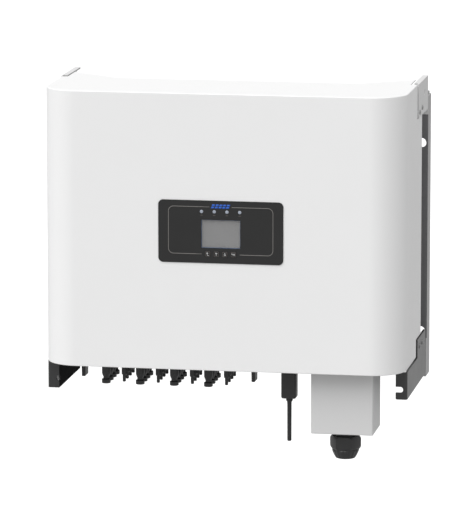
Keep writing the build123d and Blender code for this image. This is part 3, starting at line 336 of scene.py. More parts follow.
def placed(name, mesh, finish, body, stands_for, crease, slot=None):
    """Shades a finished mesh, gives it its finish and lets it ride on its body."""
    mesh.shade_smooth()
    mesh.set_sharp_from_angle(angle=math.radians(crease))
    piece = bpy.data.objects.new(name, mesh)
    bpy.context.scene.collection.objects.link(piece)
    mesh.materials.clear()
    mesh.materials.append(FINISHES[finish])
    slot = slot or SLOTS[finish]
    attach(piece, body)
    if stands_for:
        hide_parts(*stands_for)
    return piece


def eased(piece, width, segments=2, angle=40.0):
    """Rounds a piece's sharp edges a little, as paint and moulding do."""
    bevel = piece.modifiers.new("eased_edges", "BEVEL")
    bevel.width = width
    bevel.segments = segments
    bevel.limit_method = "ANGLE"
    bevel.angle_limit = math.radians(angle)
    bevel.use_clamp_overlap = True
    flatten = piece.modifiers.new("flat_faces", "WEIGHTED_NORMAL")
    flatten.keep_sharp = True
    flatten.weight = 80
    return piece


def from_cad(node, finish, edge, body=HULL):
    """A merged copy of a CAD node, with its flat faces joined and its edges eased."""
    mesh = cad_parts[node].data.copy()
    work = bmesh.new()
    work.from_mesh(mesh)
    bmesh.ops.remove_doubles(work, verts=work.verts, dist=2e-6)
    bmesh.ops.dissolve_limit(work, angle_limit=math.radians(0.6), verts=work.verts, edges=work.edges)
    work.to_mesh(mesh)
    work.free()
    mesh.name = node + "_finished"
    return eased(placed(mesh.name, mesh, finish, body, (node,), CREASE), edge)


def middle_of(node):
    """Middle of a CAD node's box, and its lowest and highest corners."""
    low, high = (np.array(corner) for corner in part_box(node))
    return (low + high) / 2, low, high


def over(centre):
    """Place in plan of a node's middle, at height 0."""
    return centre[0], centre[1], 0


def paint(finish, *nodes):
    """Gives CAD nodes a finish."""
    for node in nodes:
        mesh_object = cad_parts[node]
        mesh_object.data.materials.clear()
        mesh_object.data.materials.append(FINISHES[finish])


# ---------------------------------------------------------------- finishes

class Value:
    """A number in a shader tree that can be added, multiplied and so on like any other."""

    def __init__(self, tree, socket):
        self.tree, self.socket = tree, socket

    def maths(self, operation, *terms, clamp=False):
        node = self.tree.add("ShaderNodeMath", dict(enumerate(terms)), operation=operation, use_clamp=clamp)
        return Value(self.tree, node.outputs[0])

    def __add__(self, other):
        return self.maths("ADD", self, other)

    def __sub__(self, other):
        return self.maths("SUBTRACT", self, other)

    def __mul__(self, other):
        return self.maths("MULTIPLY", self, other)

    def __truediv__(self, other):
        return self.maths("DIVIDE", self, other)

    def __rsub__(self, other):
        return self.maths("SUBTRACT", other, self)

    def __abs__(self):
        return self.maths("ABSOLUTE", self)

    __radd__ = __add__
    __rmul__ = __mul__

    def fraction(self):
        return self.maths("FRACT", self)

    def largest(self, other):
        return self.maths("MAXIMUM", self, other)

    def smallest(self, other):
        return self.maths("MINIMUM", self, other)

    def above(self, limit):
        return self.maths("GREATER_THAN", self, limit)

    def between(self, low, high):
        """0 at low, 1 at high and straight between them."""
        run = (self - low) / (high - low)
        return run.maths("ADD", run, 0.0, clamp=True)


class Finish:
    """A material with one surface shader, and the one method that adds nodes to it."""

    def __init__(self, name, **constants):
        self.material = bpy.data.materials.new(name)
        self.material.use_nodes = True
        self.tree = self.material.node_tree
        self.tree.nodes.clear()
        inputs = {key.replace("_", " "): value for key, value in constants.items()}
        self.surface = self.add("ShaderNodeBsdfPrincipled", inputs)
        self.add("ShaderNodeOutputMaterial", {"Surface": self.surface.outputs["BSDF"]})
        self.place = self.add("ShaderNodeTexCoord").outputs["Object"]

    def add(self, kind, inputs=(), **settings):
        node = self.tree.nodes.new(kind)
        for key, value in settings.items():
            setattr(node, key, value)
        for key, value in dict(inputs).items():
            socket = node.inputs[key]
            if isinstance(value, Value):
                value = value.socket
            if isinstance(value, bpy.types.NodeSocket):
                self.tree.links.new(value, socket)
            else:
                socket.default_value = (*value, 1.0) if socket.type == "RGBA" and len(value) == 3 else value
        return node

    def stretched(self, scale):
        """Object coordinates scaled along each axis."""
        return self.add("ShaderNodeMapping", {"Vector": self.place, "Scale": scale}).outputs[0]

    def noise(self, size, detail=3.0, roughness=0.5, scale=(1, 1, 1)):
        """Soft noise from 0 to 1 whose bumps are about size metres across."""
        node = self.add("ShaderNodeTexNoise", {"Vector": self.stretched(scale), "Scale": 1 / size,
                                               "Detail": detail, "Roughness": roughness})
        return Value(self, node.outputs[0])

    def cells(self, size, feature="F1"):
        """Distance to the nearest of the cells' middles, for cells about size metres across."""
        node = self.add("ShaderNodeTexVoronoi", {"Vector": self.place, "Scale": 1 / size}, feature=feature)
        return Value(self, node.outputs["Distance"])

    def axes(self):
        """The object coordinates one by one."""
        node = self.add("ShaderNodeSeparateXYZ", {"Vector": self.place})
        return [Value(self, socket) for socket in node.outputs]

    def mixed(self, factor, low, high):
        """Colour that runs from low to high with the factor."""
        node = self.add("ShaderNodeMix", {0: factor, 6: low, 7: high}, data_type="RGBA", clamp_factor=True)
        return node.outputs[2]

    def bump(self, height, distance):
        """Normal bent by a height of so many metres."""
        inputs = {"Height": height, "Distance": distance, "Strength": 1.0}
        return self.add("ShaderNodeBump", inputs).outputs[0]

    def set(self, **values):
        """Feeds values into the surface shader."""
        for key, value in values.items():
            socket = self.surface.inputs[key.replace("_", " ")]
            self.tree.links.new(value.socket if isinstance(value, Value) else value, socket)
        return self.material


def shade(tint, factor):
    """A colour made lighter or darker."""
    return tuple(min(1.0, channel * factor) for channel in tint)


def powder_coat(name, tint, peel, roughness, spread=0.05, gloss=0.12):
    """Baked powder coat: orange peel in two sizes, faint clouding and a slightly uneven gloss."""
    finish = Finish(name, Roughness=roughness, IOR=1.5, Coat_Weight=gloss, Coat_Roughness=0.28)
    light, dark = shade(tint, 1 + spread), shade(tint, 1 - spread)
    clouds = finish.noise(0.09, 2.0)
    grain = finish.noise(0.0011, 2.0)
    peel_height = finish.noise(0.0024, 3.0) * 0.7 + grain * 0.3
    return finish.set(
        Base_Color=finish.mixed(clouds * 0.75 + grain * 0.25, dark, light),
        Roughness=finish.noise(0.03, 3.0) * 0.12 + (roughness - 0.06),
        Normal=finish.bump(peel_height, peel))


def galvanised(name, tint):
    """Zinc plate: crystal patches of slightly different greys under a fine drawn grain."""
    finish = Finish(name, Metallic=0.35, Roughness=0.42)
    patches = finish.cells(0.011)
    grain = finish.noise(0.0009, 3.0, 0.6, scale=(1, 1, 0.12))
    return finish.set(
        Base_Color=finish.mixed(patches * 0.6 + grain * 0.4, shade(tint, 0.88), shade(tint, 1.1)),
        Roughness=patches * 0.16 + grain * 0.12 + 0.30,
        Normal=finish.bump(grain, 0.00005))


def extruded_aluminium(name):
    """Extruded fins: bright metal with draw lines that run upwards and a thin dull film."""
    finish = Finish(name, Metallic=1.0, Roughness=0.36)
    lines = finish.noise(0.0012, 4.0, 0.6, scale=(1, 1, 0.02))
    film = finish.noise(0.05, 3.0)
    return finish.set(
        Base_Color=finish.mixed(film * 0.5 + lines * 0.5, (0.47, 0.48, 0.49), (0.66, 0.67, 0.68)),
        Roughness=lines * 0.2 + film * 0.12 + 0.26,
        Normal=finish.bump(lines, 0.00006))


def turned_steel(name, dull, bright):
    """Plated steel: a fine swirl and small dull spots."""
    finish = Finish(name, Metallic=1.0, Roughness=0.3)
    spots = finish.noise(0.0022, 3.0)
    scratches = finish.noise(0.0004, 2.0, scale=(1, 0.2, 1))
    return finish.set(
        Base_Color=finish.mixed(spots, dull, bright),
        Roughness=scratches * 0.18 + spots * 0.14 + 0.16,
        Normal=finish.bump(scratches, 0.00003))


def moulded(name, tint, grain=0.0008, depth=0.00004, roughness=0.4, shine=0.5):
    """Moulded plastic: spark-eroded grain, faint flow clouds and a gloss that varies with them."""
    finish = Finish(name, Roughness=roughness, IOR=1.5, Specular_IOR_Level=shine)
    pits = finish.noise(grain, 2.0, 0.6)
    flow = finish.noise(0.02, 2.0)
    return finish.set(
        Base_Color=finish.mixed(flow * 0.6 + pits * 0.4, shade(tint, 0.8), shade(tint, 1.25)),
        Roughness=pits * 0.16 + flow * 0.1 + (roughness - 0.13),
        Normal=finish.bump(pits, depth))


def panel_film(name, tint):
    """Printed polyester film: a very fine leather-like emboss under an even sheen."""
    finish = Finish(name, Roughness=0.42, IOR=1.46)
    emboss = finish.cells(0.0007)
    clouds = finish.noise(0.05, 2.0)
    return finish.set(
        Base_Color=finish.mixed(clouds, shade(tint, 0.9), shade(tint, 1.1)),
        Roughness=emboss * 0.12 + clouds * 0.06 + 0.34,
        Normal=finish.bump(emboss, 0.00002))


def printed_ink(name, tint, roughness=0.5):
    """Screen-printed ink: slightly uneven cover over the film's emboss."""
    finish = Finish(name, Roughness=roughness)
    cover = finish.noise(0.0009, 2.0)
    return finish.set(
        Base_Color=finish.mixed(cover, shade(tint, 0.86), shade(tint, 1.08)),
        Roughness=cover * 0.1 + (roughness - 0.05),
        Normal=finish.bump(cover, 0.00001))


def liquid_crystal(name, tint, rim, node):
    """Unlit screen: a fine grid of picture cells, and a bluish rim that fades over the last 2 mm."""
    centre, _, high = middle_of(node)
    margin = 3 * MM
    finish = Finish(name, Roughness=0.35)
    x, _, z = finish.axes()
    to_side = (high[0] - margin - centre[0]) - abs(x - float(centre[0]))
    to_top = (high[2] - margin - centre[2]) - abs(z - float(centre[2]))
    edge = 1.0 - to_side.smallest(to_top).between(0.0, 2.2 * MM)
    column = (x / (0.42 * MM)).fraction().above(0.12)
    row = (z / (0.42 * MM)).fraction().above(0.12)
    cells = column * row
    glow = finish.mixed(edge * edge, tint, rim)
    dark = finish.mixed(cells * 0.9 + 0.1, shade(tint, 0.86), (1.0, 1.0, 1.0))
    blend = finish.add("ShaderNodeMix", {0: 1.0, 6: glow, 7: dark}, data_type="RGBA", blend_type="MULTIPLY")
    return finish.set(
        Base_Color=blend.outputs[2],
        Roughness=cells * 0.1 + 0.3)


def clear_window(name):
    """Hard-coated acrylic window: almost clear, with a faint smear in its gloss."""
    finish = Finish(name, Base_Color=(0.05, 0.05, 0.055), Roughness=0.12, IOR=1.49, Alpha=0.14)
    smear = finish.noise(0.012, 3.0)
    return finish.set(Roughness=smear * 0.12 + 0.07)


def lamp_lens(name):
    """Milky lamp window: soft paler and darker clouding, with fine diffusing pits."""
    finish = Finish(name, Roughness=0.25, IOR=1.5)
    pits = finish.noise(0.0005, 2.0)
    milk = finish.noise(0.0022, 1.0)
    return finish.set(
        Base_Color=finish.mixed(milk, (0.24, 0.27, 0.33), (0.42, 0.45, 0.51)),
        Roughness=pits * 0.2 + 0.16,
        Normal=finish.bump(pits, 0.00002))


def circuit_board(name):
    """Green board: solder mask over upright and level tracks, with bright pads at the crossings."""
    finish = Finish(name, Roughness=0.35, IOR=1.5)
    x, _, z = finish.axes()
    bend = finish.noise(0.012, 1.0)
    track_x = ((x / 0.0034 + bend * 3.0).fraction() - 0.5)
    track_z = ((z / 0.0046 + bend * 2.0).fraction() - 0.5)
    upright = 1.0 - abs(track_x).above(0.17)
    flat = 1.0 - abs(track_z).above(0.12)
    tracks = upright.largest(flat)
    pads = upright * flat
    mask = finish.mixed(tracks, (0.006, 0.055, 0.022), (0.016, 0.12, 0.045))
    return finish.set(
        Base_Color=finish.mixed(pads, mask, (0.55, 0.55, 0.52)),
        Roughness=pads * 0.1 + finish.noise(0.004) * 0.1 + 0.28,
        Metallic=pads * 0.8,
        Normal=finish.bump(tracks, 0.00006))


def shrink_sleeve(name):
    """Capacitor sleeve: thin film with a pale stripe down one side."""
    finish = Finish(name, Roughness=0.3)
    x, _, _ = finish.axes()
    wrinkle = finish.noise(0.003, 2.0, scale=(1, 0.15, 1))
    stripe = abs((x / 0.044).fraction() - 0.5).above(0.47)
    return finish.set(
        Base_Color=finish.mixed(stripe, (0.012, 0.016, 0.05), (0.42, 0.43, 0.45)),
        Roughness=wrinkle * 0.18 + 0.24,
        Normal=finish.bump(wrinkle, 0.00008))


def rubber(name):
    """Moulded rubber: matt, with dust in its grain."""
    finish = Finish(name, Roughness=0.72, Specular_IOR_Level=0.35)
    grain = finish.noise(0.0006, 3.0)
    dust = finish.noise(0.01, 4.0)
    return finish.set(
        Base_Color=finish.mixed(dust * grain, (0.010, 0.010, 0.010), (0.030, 0.029, 0.028)),
        Roughness=grain * 0.2 + 0.6,
        Normal=finish.bump(grain, 0.00005))


def pale_floor(name, tint, dimming):
    """Plain pale floor, which sends little light back up under the object."""
    finish = Finish(name, Base_Color=tint, Roughness=0.9, Specular_IOR_Level=0.0)
    seen = finish.add("ShaderNodeLightPath").outputs["Is Camera Ray"]
    dim = finish.add("ShaderNodeBsdfDiffuse", {"Color": shade(tint, dimming)})
    both = finish.add("ShaderNodeMixShader", {0: seen, 1: dim.outputs[0], 2: finish.surface.outputs[0]})
    finish.add("ShaderNodeOutputMaterial", {"Surface": both.outputs[0]}, is_active_output=True)
    return finish.material


FINISHES = {}
SLOTS = {
    "white": "cover_white", "plate": "cover_white", "graphite": "frame_grey", "rail": "frame_grey",
    "zinc": "bracket_zinc", "box": "box_grey", "film": "panel_black", "key_cap": "panel_black",
    "ink": "panel_black", "dim_ink": "panel_black", "pale_ink": "panel_black", "blue_ink": "panel_black",
    "black": "part_black", "rough_black": "part_black", "lamp": "lamp_clear", "rubber": "seal_rubber",
}


def make_finishes():
    """Makes every finish once, from the colours in the sidebar."""
    tints = bpy.context.scene.inverter_colours
    FINISHES.update(
        white=powder_coat("white_powder_coat", tuple(tints.white), 0.00003, 0.46, 0.012),
        graphite=powder_coat("graphite_powder_coat", tuple(tints.graphite), 0.00003, 0.44, 0.12, 0.5),
        # Painted shade: a darker copy of the cover's white, used on the corner plates.
        plate=powder_coat("painted_shade_plate_coat", tuple(tints.plate), 0.00003, 0.46, 0.012),
        zinc=galvanised("galvanised_plate", tuple(tints.zinc)),
        box=powder_coat("box_powder_coat", tuple(tints.box), 0.00004, 0.48, 0.015),
        aluminium=extruded_aluminium("extruded_aluminium"),
        steel=turned_steel("plated_steel", (0.42, 0.42, 0.43), (0.63, 0.62, 0.60)),
        dark_steel=turned_steel("blackened_steel", (0.30, 0.30, 0.30), (0.42, 0.42, 0.42)),
        # Painted light: the frame grey made lighter for the rails, in place of the bounce light they get in
        # their shade.
        rail=powder_coat("painted_light_rail_coat", tuple(tints.rail), 0.00006, 0.5, 0.08),
        # Painted shade: near-black finish for the left foot's inner wall, standing in for the shadow that
        # falls there.
        inner=moulded("painted_shade_black", tuple(tints.inner), 0.0008, 0.00004, 0.85, 0.05),
        film=panel_film("panel_film", tuple(tints.overlay)),
        key_cap=moulded("key_cap", shade(tuple(tints.overlay), 1.1), 0.0005, 0.00002, 0.45),
        black=moulded("moulded_black", tuple(tints.moulded)),
        rough_black=moulded("grained_black", shade(tuple(tints.moulded), 0.9), 0.0006, 0.00008, 0.55),
        ink=printed_ink("grey_ink", (0.20, 0.19, 0.18)),
        dim_ink=printed_ink("dim_ink", (0.11, 0.09, 0.08)),
        pale_ink=printed_ink("pale_ink", (0.62, 0.62, 0.62)),
        blue_ink=printed_ink("blue_ink", tuple(tints.emblem)),
        screen=liquid_crystal("liquid_crystal", tuple(tints.screen), tuple(tints.screen_rim),
                              "screen_module"),
        window=clear_window("clear_window"),
        lamp=lamp_lens("lamp_lens"),
        board=circuit_board("circuit_board"),
        sleeve=shrink_sleeve("capacitor_sleeve"),
        potting=moulded("choke_potting", (0.045, 0.045, 0.05), 0.0014, 0.00012, 0.6),
        terminal=moulded("terminal_grey", (0.24, 0.245, 0.25), 0.0007, 0.00003, 0.45),
        rubber=rubber("seal_rubber"),
    )


# ---------------------------------------------------------------- operators

class INVERTER_OT_cover(bpy.types.Operator):
    """Front cover: a shell carried round the plan outline"""
    bl_idname = "inverter.cover"
    bl_label = "Front cover"

    def execute(self, context):
        sizes = context.scene.inverter_cover
        _, low, high = middle_of("front_cover")
        front, width = low[1], high[0] - low[0]
        opening_mid = middle_of("display_panel")[0][2]
        shell = cover_shell(sizes, width, front, low[2], high[2], opening_mid)
        piece = set_piece("cover_shell", shell, "white", stands_for=("front_cover",),
                          crease=50.0, closed=False)
        wall = piece.modifiers.new("sheet", "SOLIDIFY")
        wall.thickness = sizes.sheet
        wall.offset = -1.0
        wall.use_even_offset = True
        eased(piece, 0.35 * MM, 2, 60.0)
        return {"FINISHED"}


def cover_shell(sizes, width, front, low, high, opening_mid):
    """Outer face of the cover. The plan outline runs forward up the left side, round a quarter circle, across
    the front, round a second quarter circle and back. At each height the outline is drawn in by an inset
    along its normal: the hem, a quarter circle into the wall, the wall, and a quarter circle into the top
    plate, which is then ruled from the left half of the outline to the right half. A three-cornered tab
    stands behind it at each side."""
    radius, half = sizes.corner, width / 2
    quarter = np.linspace(0, 1, 33) * np.pi / 2
    side = np.array([sizes.side_depth, sizes.top_depth, radius + (sizes.top_depth - radius) / 2])
    gap = sizes.opening_w / 2
    tab_scale = (half - radius) / (half - sizes.edge)
    run = np.array([gap / 3, gap, sizes.tab_root * tab_scale, sizes.tab_side * tab_scale])
    run = np.concatenate([-run[::-1], run])
    left_x = np.concatenate([np.full(3, -half), -half + radius - radius * np.cos(quarter)])
    left_y = np.concatenate([side, radius - radius * np.sin(quarter)])
    round_n = np.stack([np.cos(quarter), np.sin(quarter)], axis=-1)
    left_n = np.concatenate([np.tile([[1.0, 0.0]], (3, 1)), round_n])
    x = np.concatenate([left_x, run, -left_x[::-1]])
    y = np.concatenate([left_y, run * 0, left_y[::-1]])
    inward = np.concatenate([left_n, np.tile([[0.0, 1.0]], (len(run), 1)), left_n[::-1] * [-1, 1]])

    bend = np.linspace(0, 1, 6) * np.pi / 2
    e = sizes.edge
    bottom = np.stack([e - e * np.sin(bend), low + e - e * np.cos(bend)], axis=-1)
    top = np.stack([e - e * np.cos(bend), high - e + e * np.sin(bend)], axis=-1)
    z_gap = opening_mid + np.array([-0.5, 0.5]) * sizes.opening_h
    levels = np.sort([low + sizes.notch_low, z_gap[0], opening_mid, z_gap[1], high - sizes.notch_high])
    wall = np.stack([np.zeros(5), levels], axis=-1)
    profile = np.concatenate([[[sizes.hem, low]], bottom, wall, top])

    inset, z = profile[:, 0][:, None], profile[:, 1][:, None]
    points = np.stack([x + inward[:, 0] * inset, front + y + inward[:, 1] * inset, z + x * 0], axis=-1)
    vertices, quads = grid(points)
    middle = vertices[quads].mean(axis=1)
    behind = middle[:, 1] > front + sizes.top_depth
    notch = behind & ((middle[:, 2] < low + sizes.notch_low) | (middle[:, 2] > high - sizes.notch_high))
    in_height = abs(middle[:, 2] - opening_mid) < z_gap[1] - opening_mid
    opening = (middle[:, 1] < front + e) & (abs(middle[:, 0]) < gap) & in_height
    wall_shape = vertices, quads[~(notch | opening)]

    rim = points[-1]
    across = np.concatenate([[0.0], 0.5 + run / (2 * (half - radius)), [1.0]])[None, :, None]
    ruled = rim[1:len(left_x), None] * (1 - across) + rim[::-1][1:len(left_x), None] * across
    tabs = ruled[:1].copy()
    tabs[0, [1, -2], 1] = front + sizes.tab_depth
    plate_points, plate_quads = grid(np.concatenate([tabs, ruled]))
    column = np.arange(len(plate_quads)) % (len(run) + 1)
    on_tab = (column == 1) | (column == len(run) - 1)
    kept = on_tab | (np.arange(len(plate_quads)) > len(run))
    return joined(wall_shape, (plate_points, plate_quads[kept, ::-1]))


class INVERTER_OT_sheet_metal(bpy.types.Operator):
    """Corner plates, feet, rails, wall bracket, chassis and wiring box, with eased edges"""
    bl_idname = "inverter.sheet_metal"
    bl_label = "Sheet metal"

    def execute(self, context):
        sizes = context.scene.inverter_sheet
        for side in ("left", "right"):
            # The corner plates take the darker copy of the cover's white as painted shade.
            from_cad(f"ear_plate_{side}", "plate", sizes.plate_edge)
            foot = from_cad(f"foot_plate_{side}", "graphite", sizes.plate_edge)
            # The left foot's inner wall gets near black as painted shade.
            shade_painted_foot(foot, side == "left")
            # The side rails take the lighter copy of the frame grey as painted light.
            from_cad(f"side_rail_{side}", "rail", sizes.plate_edge)
            from_cad(f"bracket_rail_{side}", "zinc", sizes.plate_edge)
        for node in ("bracket_bar_top", "bracket_bar_bottom", "hang_hooks"):
            from_cad(node, "zinc", sizes.plate_edge)
        for node in ("hang_bar", "chassis_box", "chassis_lid", "fan_tray"):
            from_cad(node, "graphite", sizes.plate_edge)
        from_cad("grid_box", "box", sizes.box_edge)
        return {"FINISHED"}


def shade_painted_foot(foot, has_inner_wall):
    """Gives the faces of a foot's inner wall that look across the inverter a near-black painted shade, which
    stands in for the shadow that falls on that wall.
    """
    foot.data.materials.append(FINISHES["inner"])
    count = len(foot.data.polygons)
    normals, middles = np.zeros(count * 3), np.zeros(count * 3)
    foot.data.polygons.foreach_get("normal", normals)
    foot.data.polygons.foreach_get("center", middles)
    below = middles.reshape(-1, 3)[:, 2] < middle_of("front_cover")[1][2]
    across = normals.reshape(-1, 3)[:, 0] > 0.9
    foot.data.polygons.foreach_set("material_index", (across & below & has_inner_wall).astype(np.int32))


class INVERTER_OT_display(bpy.types.Operator):
    """Display panel with its printed frame, emblem and lamp marks"""
    bl_idname = "inverter.display"
    bl_label = "Display panel"

    def execute(self, context):
        sizes = context.scene.inverter_display
        from_cad("display_panel", "film", context.scene.inverter_sheet.panel_edge)
        centre, low, _ = middle_of("display_panel")
        depth = low[1] - INK_GAP
        frame_mid = centre[2] + sizes.frame_rise
        half_w, half_h, r = sizes.frame_w / 2, sizes.frame_h / 2, sizes.frame_corner
        bend = np.linspace(0, 1, 13) * np.pi / 2
        upper = np.stack([-half_w + r - r * np.sin(bend), half_h - r + r * np.cos(bend)], axis=-1)
        lower = np.stack([-half_w + r - r * np.cos(bend), -half_h + r - r * np.sin(bend)], axis=-1)
        path = np.concatenate([[[-sizes.top_gap, half_h], [-sizes.top_gap * 2, half_h]], upper, lower,
                               [[-sizes.bottom_gap * 1.4, -half_h], [-sizes.bottom_gap, -half_h]]])
        path = path + [0.0, frame_mid]
        lines = joined(ribbon(path, sizes.line, depth), ribbon(path * [-1, 1], sizes.line, depth))
        printed("frame_line", lines, "ink")

        # A generic emblem: two rows of slanted panel cells
        step_x, step_z = sizes.emblem_w / 5, sizes.emblem_h / 2
        column, row = np.meshgrid(np.arange(5) - 2.0, np.arange(2) - 0.5)
        cell = straight((-step_x * 0.40, 0), (step_x * 0.40, 0))
        bar = ribbon(cell, step_z * 0.74, depth)
        slanted = bar[0] + np.stack([bar[0][:, 2] * 0.35, bar[0][:, 2] * 0, bar[0][:, 2] * 0], axis=-1)
        places = np.stack([column.ravel() * step_x + row.ravel() * step_z * 0.35, column.ravel() * 0,
                           row.ravel() * step_z + frame_mid + half_h + 1.2 * MM], axis=-1)
        printed("emblem", repeated((slanted, bar[1]), places), "blue_ink")

        # Short dashes under the lamps stand in for their words
        _, lamp_low, lamp_high = middle_of("status_lamps")
        lamp_x = np.linspace(lamp_low[0] + LAMP_RADIUS, lamp_high[0] - LAMP_RADIUS, LAMPS)
        lamp_z = (lamp_low[2] + lamp_high[2]) / 2
        dash = ribbon(straight((-2.2 * MM, 0), (2.2 * MM, 0)), 0.8 * MM, depth)
        places = np.stack([lamp_x, lamp_x * 0, np.full(LAMPS, lamp_z - 6.4 * MM)], axis=-1)
        printed("lamp_marks", repeated(dash, places), "dim_ink")

        # Domed lamp windows: a quarter circle from rim to crown
        dome = np.linspace(0, 1, 9) * np.pi / 2
        crown = np.stack([LAMP_RADIUS * np.cos(dome), LAMP_DOME * np.sin(dome)], axis=-1)
        foot = np.array([[0.0, -LAMP_DEPTH], [LAMP_RADIUS, -LAMP_DEPTH]])
        lens = facing_front(turned(np.concatenate([foot, crown]), 32))
        places = np.stack([lamp_x, np.full(LAMPS, low[1]), np.full(LAMPS, lamp_z)], axis=-1)
        set_piece("lamp_windows", repeated(lens, places), "lamp", stands_for=("status_lamps",))
        paint("window", "screen_glass")
        paint("screen", "screen_module")
        return {"FINISHED"}


def printed(name, shape, ink, body=HULL):
    """A thin printed mark that faces the front."""
    points, quads = shape
    corner = points[quads[0]]
    outward = np.cross(corner[1] - corner[0], corner[2] - corner[1])[1] < 0
    piece = set_piece(name, (points, quads if outward else quads[:, ::-1]), ink, body, closed=False)
    film = piece.modifiers.new("ink", "SOLIDIFY")
    film.thickness = INK_FILM
    film.offset = -1.0
    return piece


GLYPHS = {
    "back": [((0.35, -0.5), (-0.15, -0.5)), ((-0.15, -0.5), (-0.15, 0.5)), ((-0.45, 0.15), (-0.15, 0.5)),
             ((-0.15, 0.5), (0.15, 0.15))],
    "up": [((0, -0.5), (0, 0.5)), ((-0.32, 0.12), (0, 0.5)), ((0, 0.5), (0.32, 0.12))],
    "down": [((0, 0.5), (0, -0.5)), ((-0.32, -0.12), (0, -0.5)), ((0, -0.5), (0.32, -0.12))],
    "enter": [((-0.5, 0.42), (-0.5, 0.0)), ((-0.5, 0.0), (0.5, 0.0)), ((0.15, 0.34), (0.5, 0.0)),
              ((0.5, 0.0), (0.15, -0.34))],
}


class INVERTER_OT_keys(bpy.types.Operator):
    """Four panel keys with a thin border and an arrow each"""
    bl_idname = "inverter.keys"
    bl_label = "Panel keys"

    def execute(self, context):
        sizes = context.scene.inverter_display
        for key, strokes in GLYPHS.items():
            body = f"button_{key}"
            from_cad(f"key_{key}", "key_cap", 0.2 * MM, body=body)
            centre, low, _ = middle_of(f"key_{key}")
            depth = low[1] - INK_GAP
            lines = [ribbon(straight(*(np.array(end) * sizes.glyph for end in ends)), sizes.stroke, depth)
                     for ends in strokes]
            printed(f"arrow_{key}", moved(joined(*lines), (centre[0], 0, centre[2])), "pale_ink", body)
            side = 7.9 * MM
            outline = rounded_rectangle(side, side, 0.7 * MM)
            outline = np.concatenate([outline, outline[:1]]) + [centre[0], centre[2]]
            printed(f"border_{key}", ribbon(outline, 0.45 * MM, depth), "dim_ink", body)
        return {"FINISHED"}


class INVERTER_OT_sockets(bpy.types.Operator):
    """Solar sockets: hexagon flanges with ribbed wide caps and slim caps"""
    bl_idname = "inverter.sockets"
    bl_label = "Solar sockets"

    def execute(self, context):
        sizes = context.scene.inverter_sockets
        for kind in ("wide", "narrow"):
            node = f"solar_sockets_{kind}"
            _, low, high = middle_of(node)
            x = np.linspace(low[0] + sizes.flange, high[0] - sizes.flange, SOCKETS_PER_ROW)
            y = np.linspace(low[1] + sizes.flange, high[1] - sizes.flange, SOCKETS_PER_ROW)
            x, y = np.meshgrid(x, y)
            places = np.stack([x.ravel(), y.ravel(), x.ravel() * 0], axis=-1)
            top = middle_of("chassis_box")[1][2]
            cap = wide_cap(sizes, low[2], top) if kind == "wide" else narrow_cap(sizes, low[2], top)
            flange = turned([(0, top), (sizes.flange, top), (sizes.flange, top - sizes.flange_t + 0.6 * MM),
                             (sizes.flange - 0.9 * MM, top - sizes.flange_t), (0, top - sizes.flange_t)],
                            36, six_sided(sizes.flange))
            thread = turned([(0, high[2]), (SOCKET_THREAD, high[2]), (SOCKET_THREAD, top), (0, top)], 24)
            shape = repeated(joined(cap, flange, thread), places)
            set_piece(f"{node}_caps", shape, "black", stands_for=(node,), crease=28.0)
        return {"FINISHED"}


def wide_cap(sizes, low, top):
    """Profile of the wide cap from the flange down: barrel, taper, waist, flare and a ribbed ring with a
    recessed end."""
    r, w = sizes.wide, sizes.waist
    under = top - sizes.flange_t
    profile = [(0, under + 1 * MM), (r, under + 1 * MM), (r, low + 18 * MM), (r - 0.25 * MM, low + 17.2 * MM),
               (r - 0.9 * MM, low + 14.6 * MM), (w + 0.3 * MM, low + 12.2 * MM), (w, low + 11.4 * MM),
               (w, low + 8.9 * MM), (w + 0.5 * MM, low + 8.2 * MM), (r - 0.4 * MM, low + 7.6 * MM),
               (r, low + 7.1 * MM), (r, low + 5.0 * MM), (r, low + 3.0 * MM), (r, low + 1.0 * MM),
               (r - 0.3 * MM, low + 0.3 * MM), (r - 1.0 * MM, low), (r - 2.4 * MM, low),
               (r - 2.9 * MM, low + 0.8 * MM),
               (0, low + 0.8 * MM)]
    return turned(profile, 40, ribbed(10, sizes.rib, low + 0.9 * MM, low + 7.2 * MM))


def narrow_cap(sizes, low, top):
    """Profile of the slim cap from the flange down: shoulder, ribbed barrel, taper and a round nose."""
    r, n = sizes.narrow, sizes.nose
    under = top - sizes.flange_t
    profile = [(0, under + 1 * MM), (r + 1.2 * MM, under + 1 * MM), (r + 1.2 * MM, under - 5 * MM),
               (r, under - 6 * MM),
               (r, low + 20 * MM), (r, low + 14.0 * MM), (n, low + 12.0 * MM), (n, low + 5.5 * MM),
               (n - 0.25 * MM, low + 5.0 * MM), (n, low + 4.5 * MM), (n, low + 1.1 * MM),
               (n - 0.5 * MM, low + 0.4 * MM),
               (n - 1.2 * MM, low), (0, low)]
    return turned(profile, 32, ribbed(8, sizes.rib * 0.6, low + 13.5 * MM, low + 21 * MM))


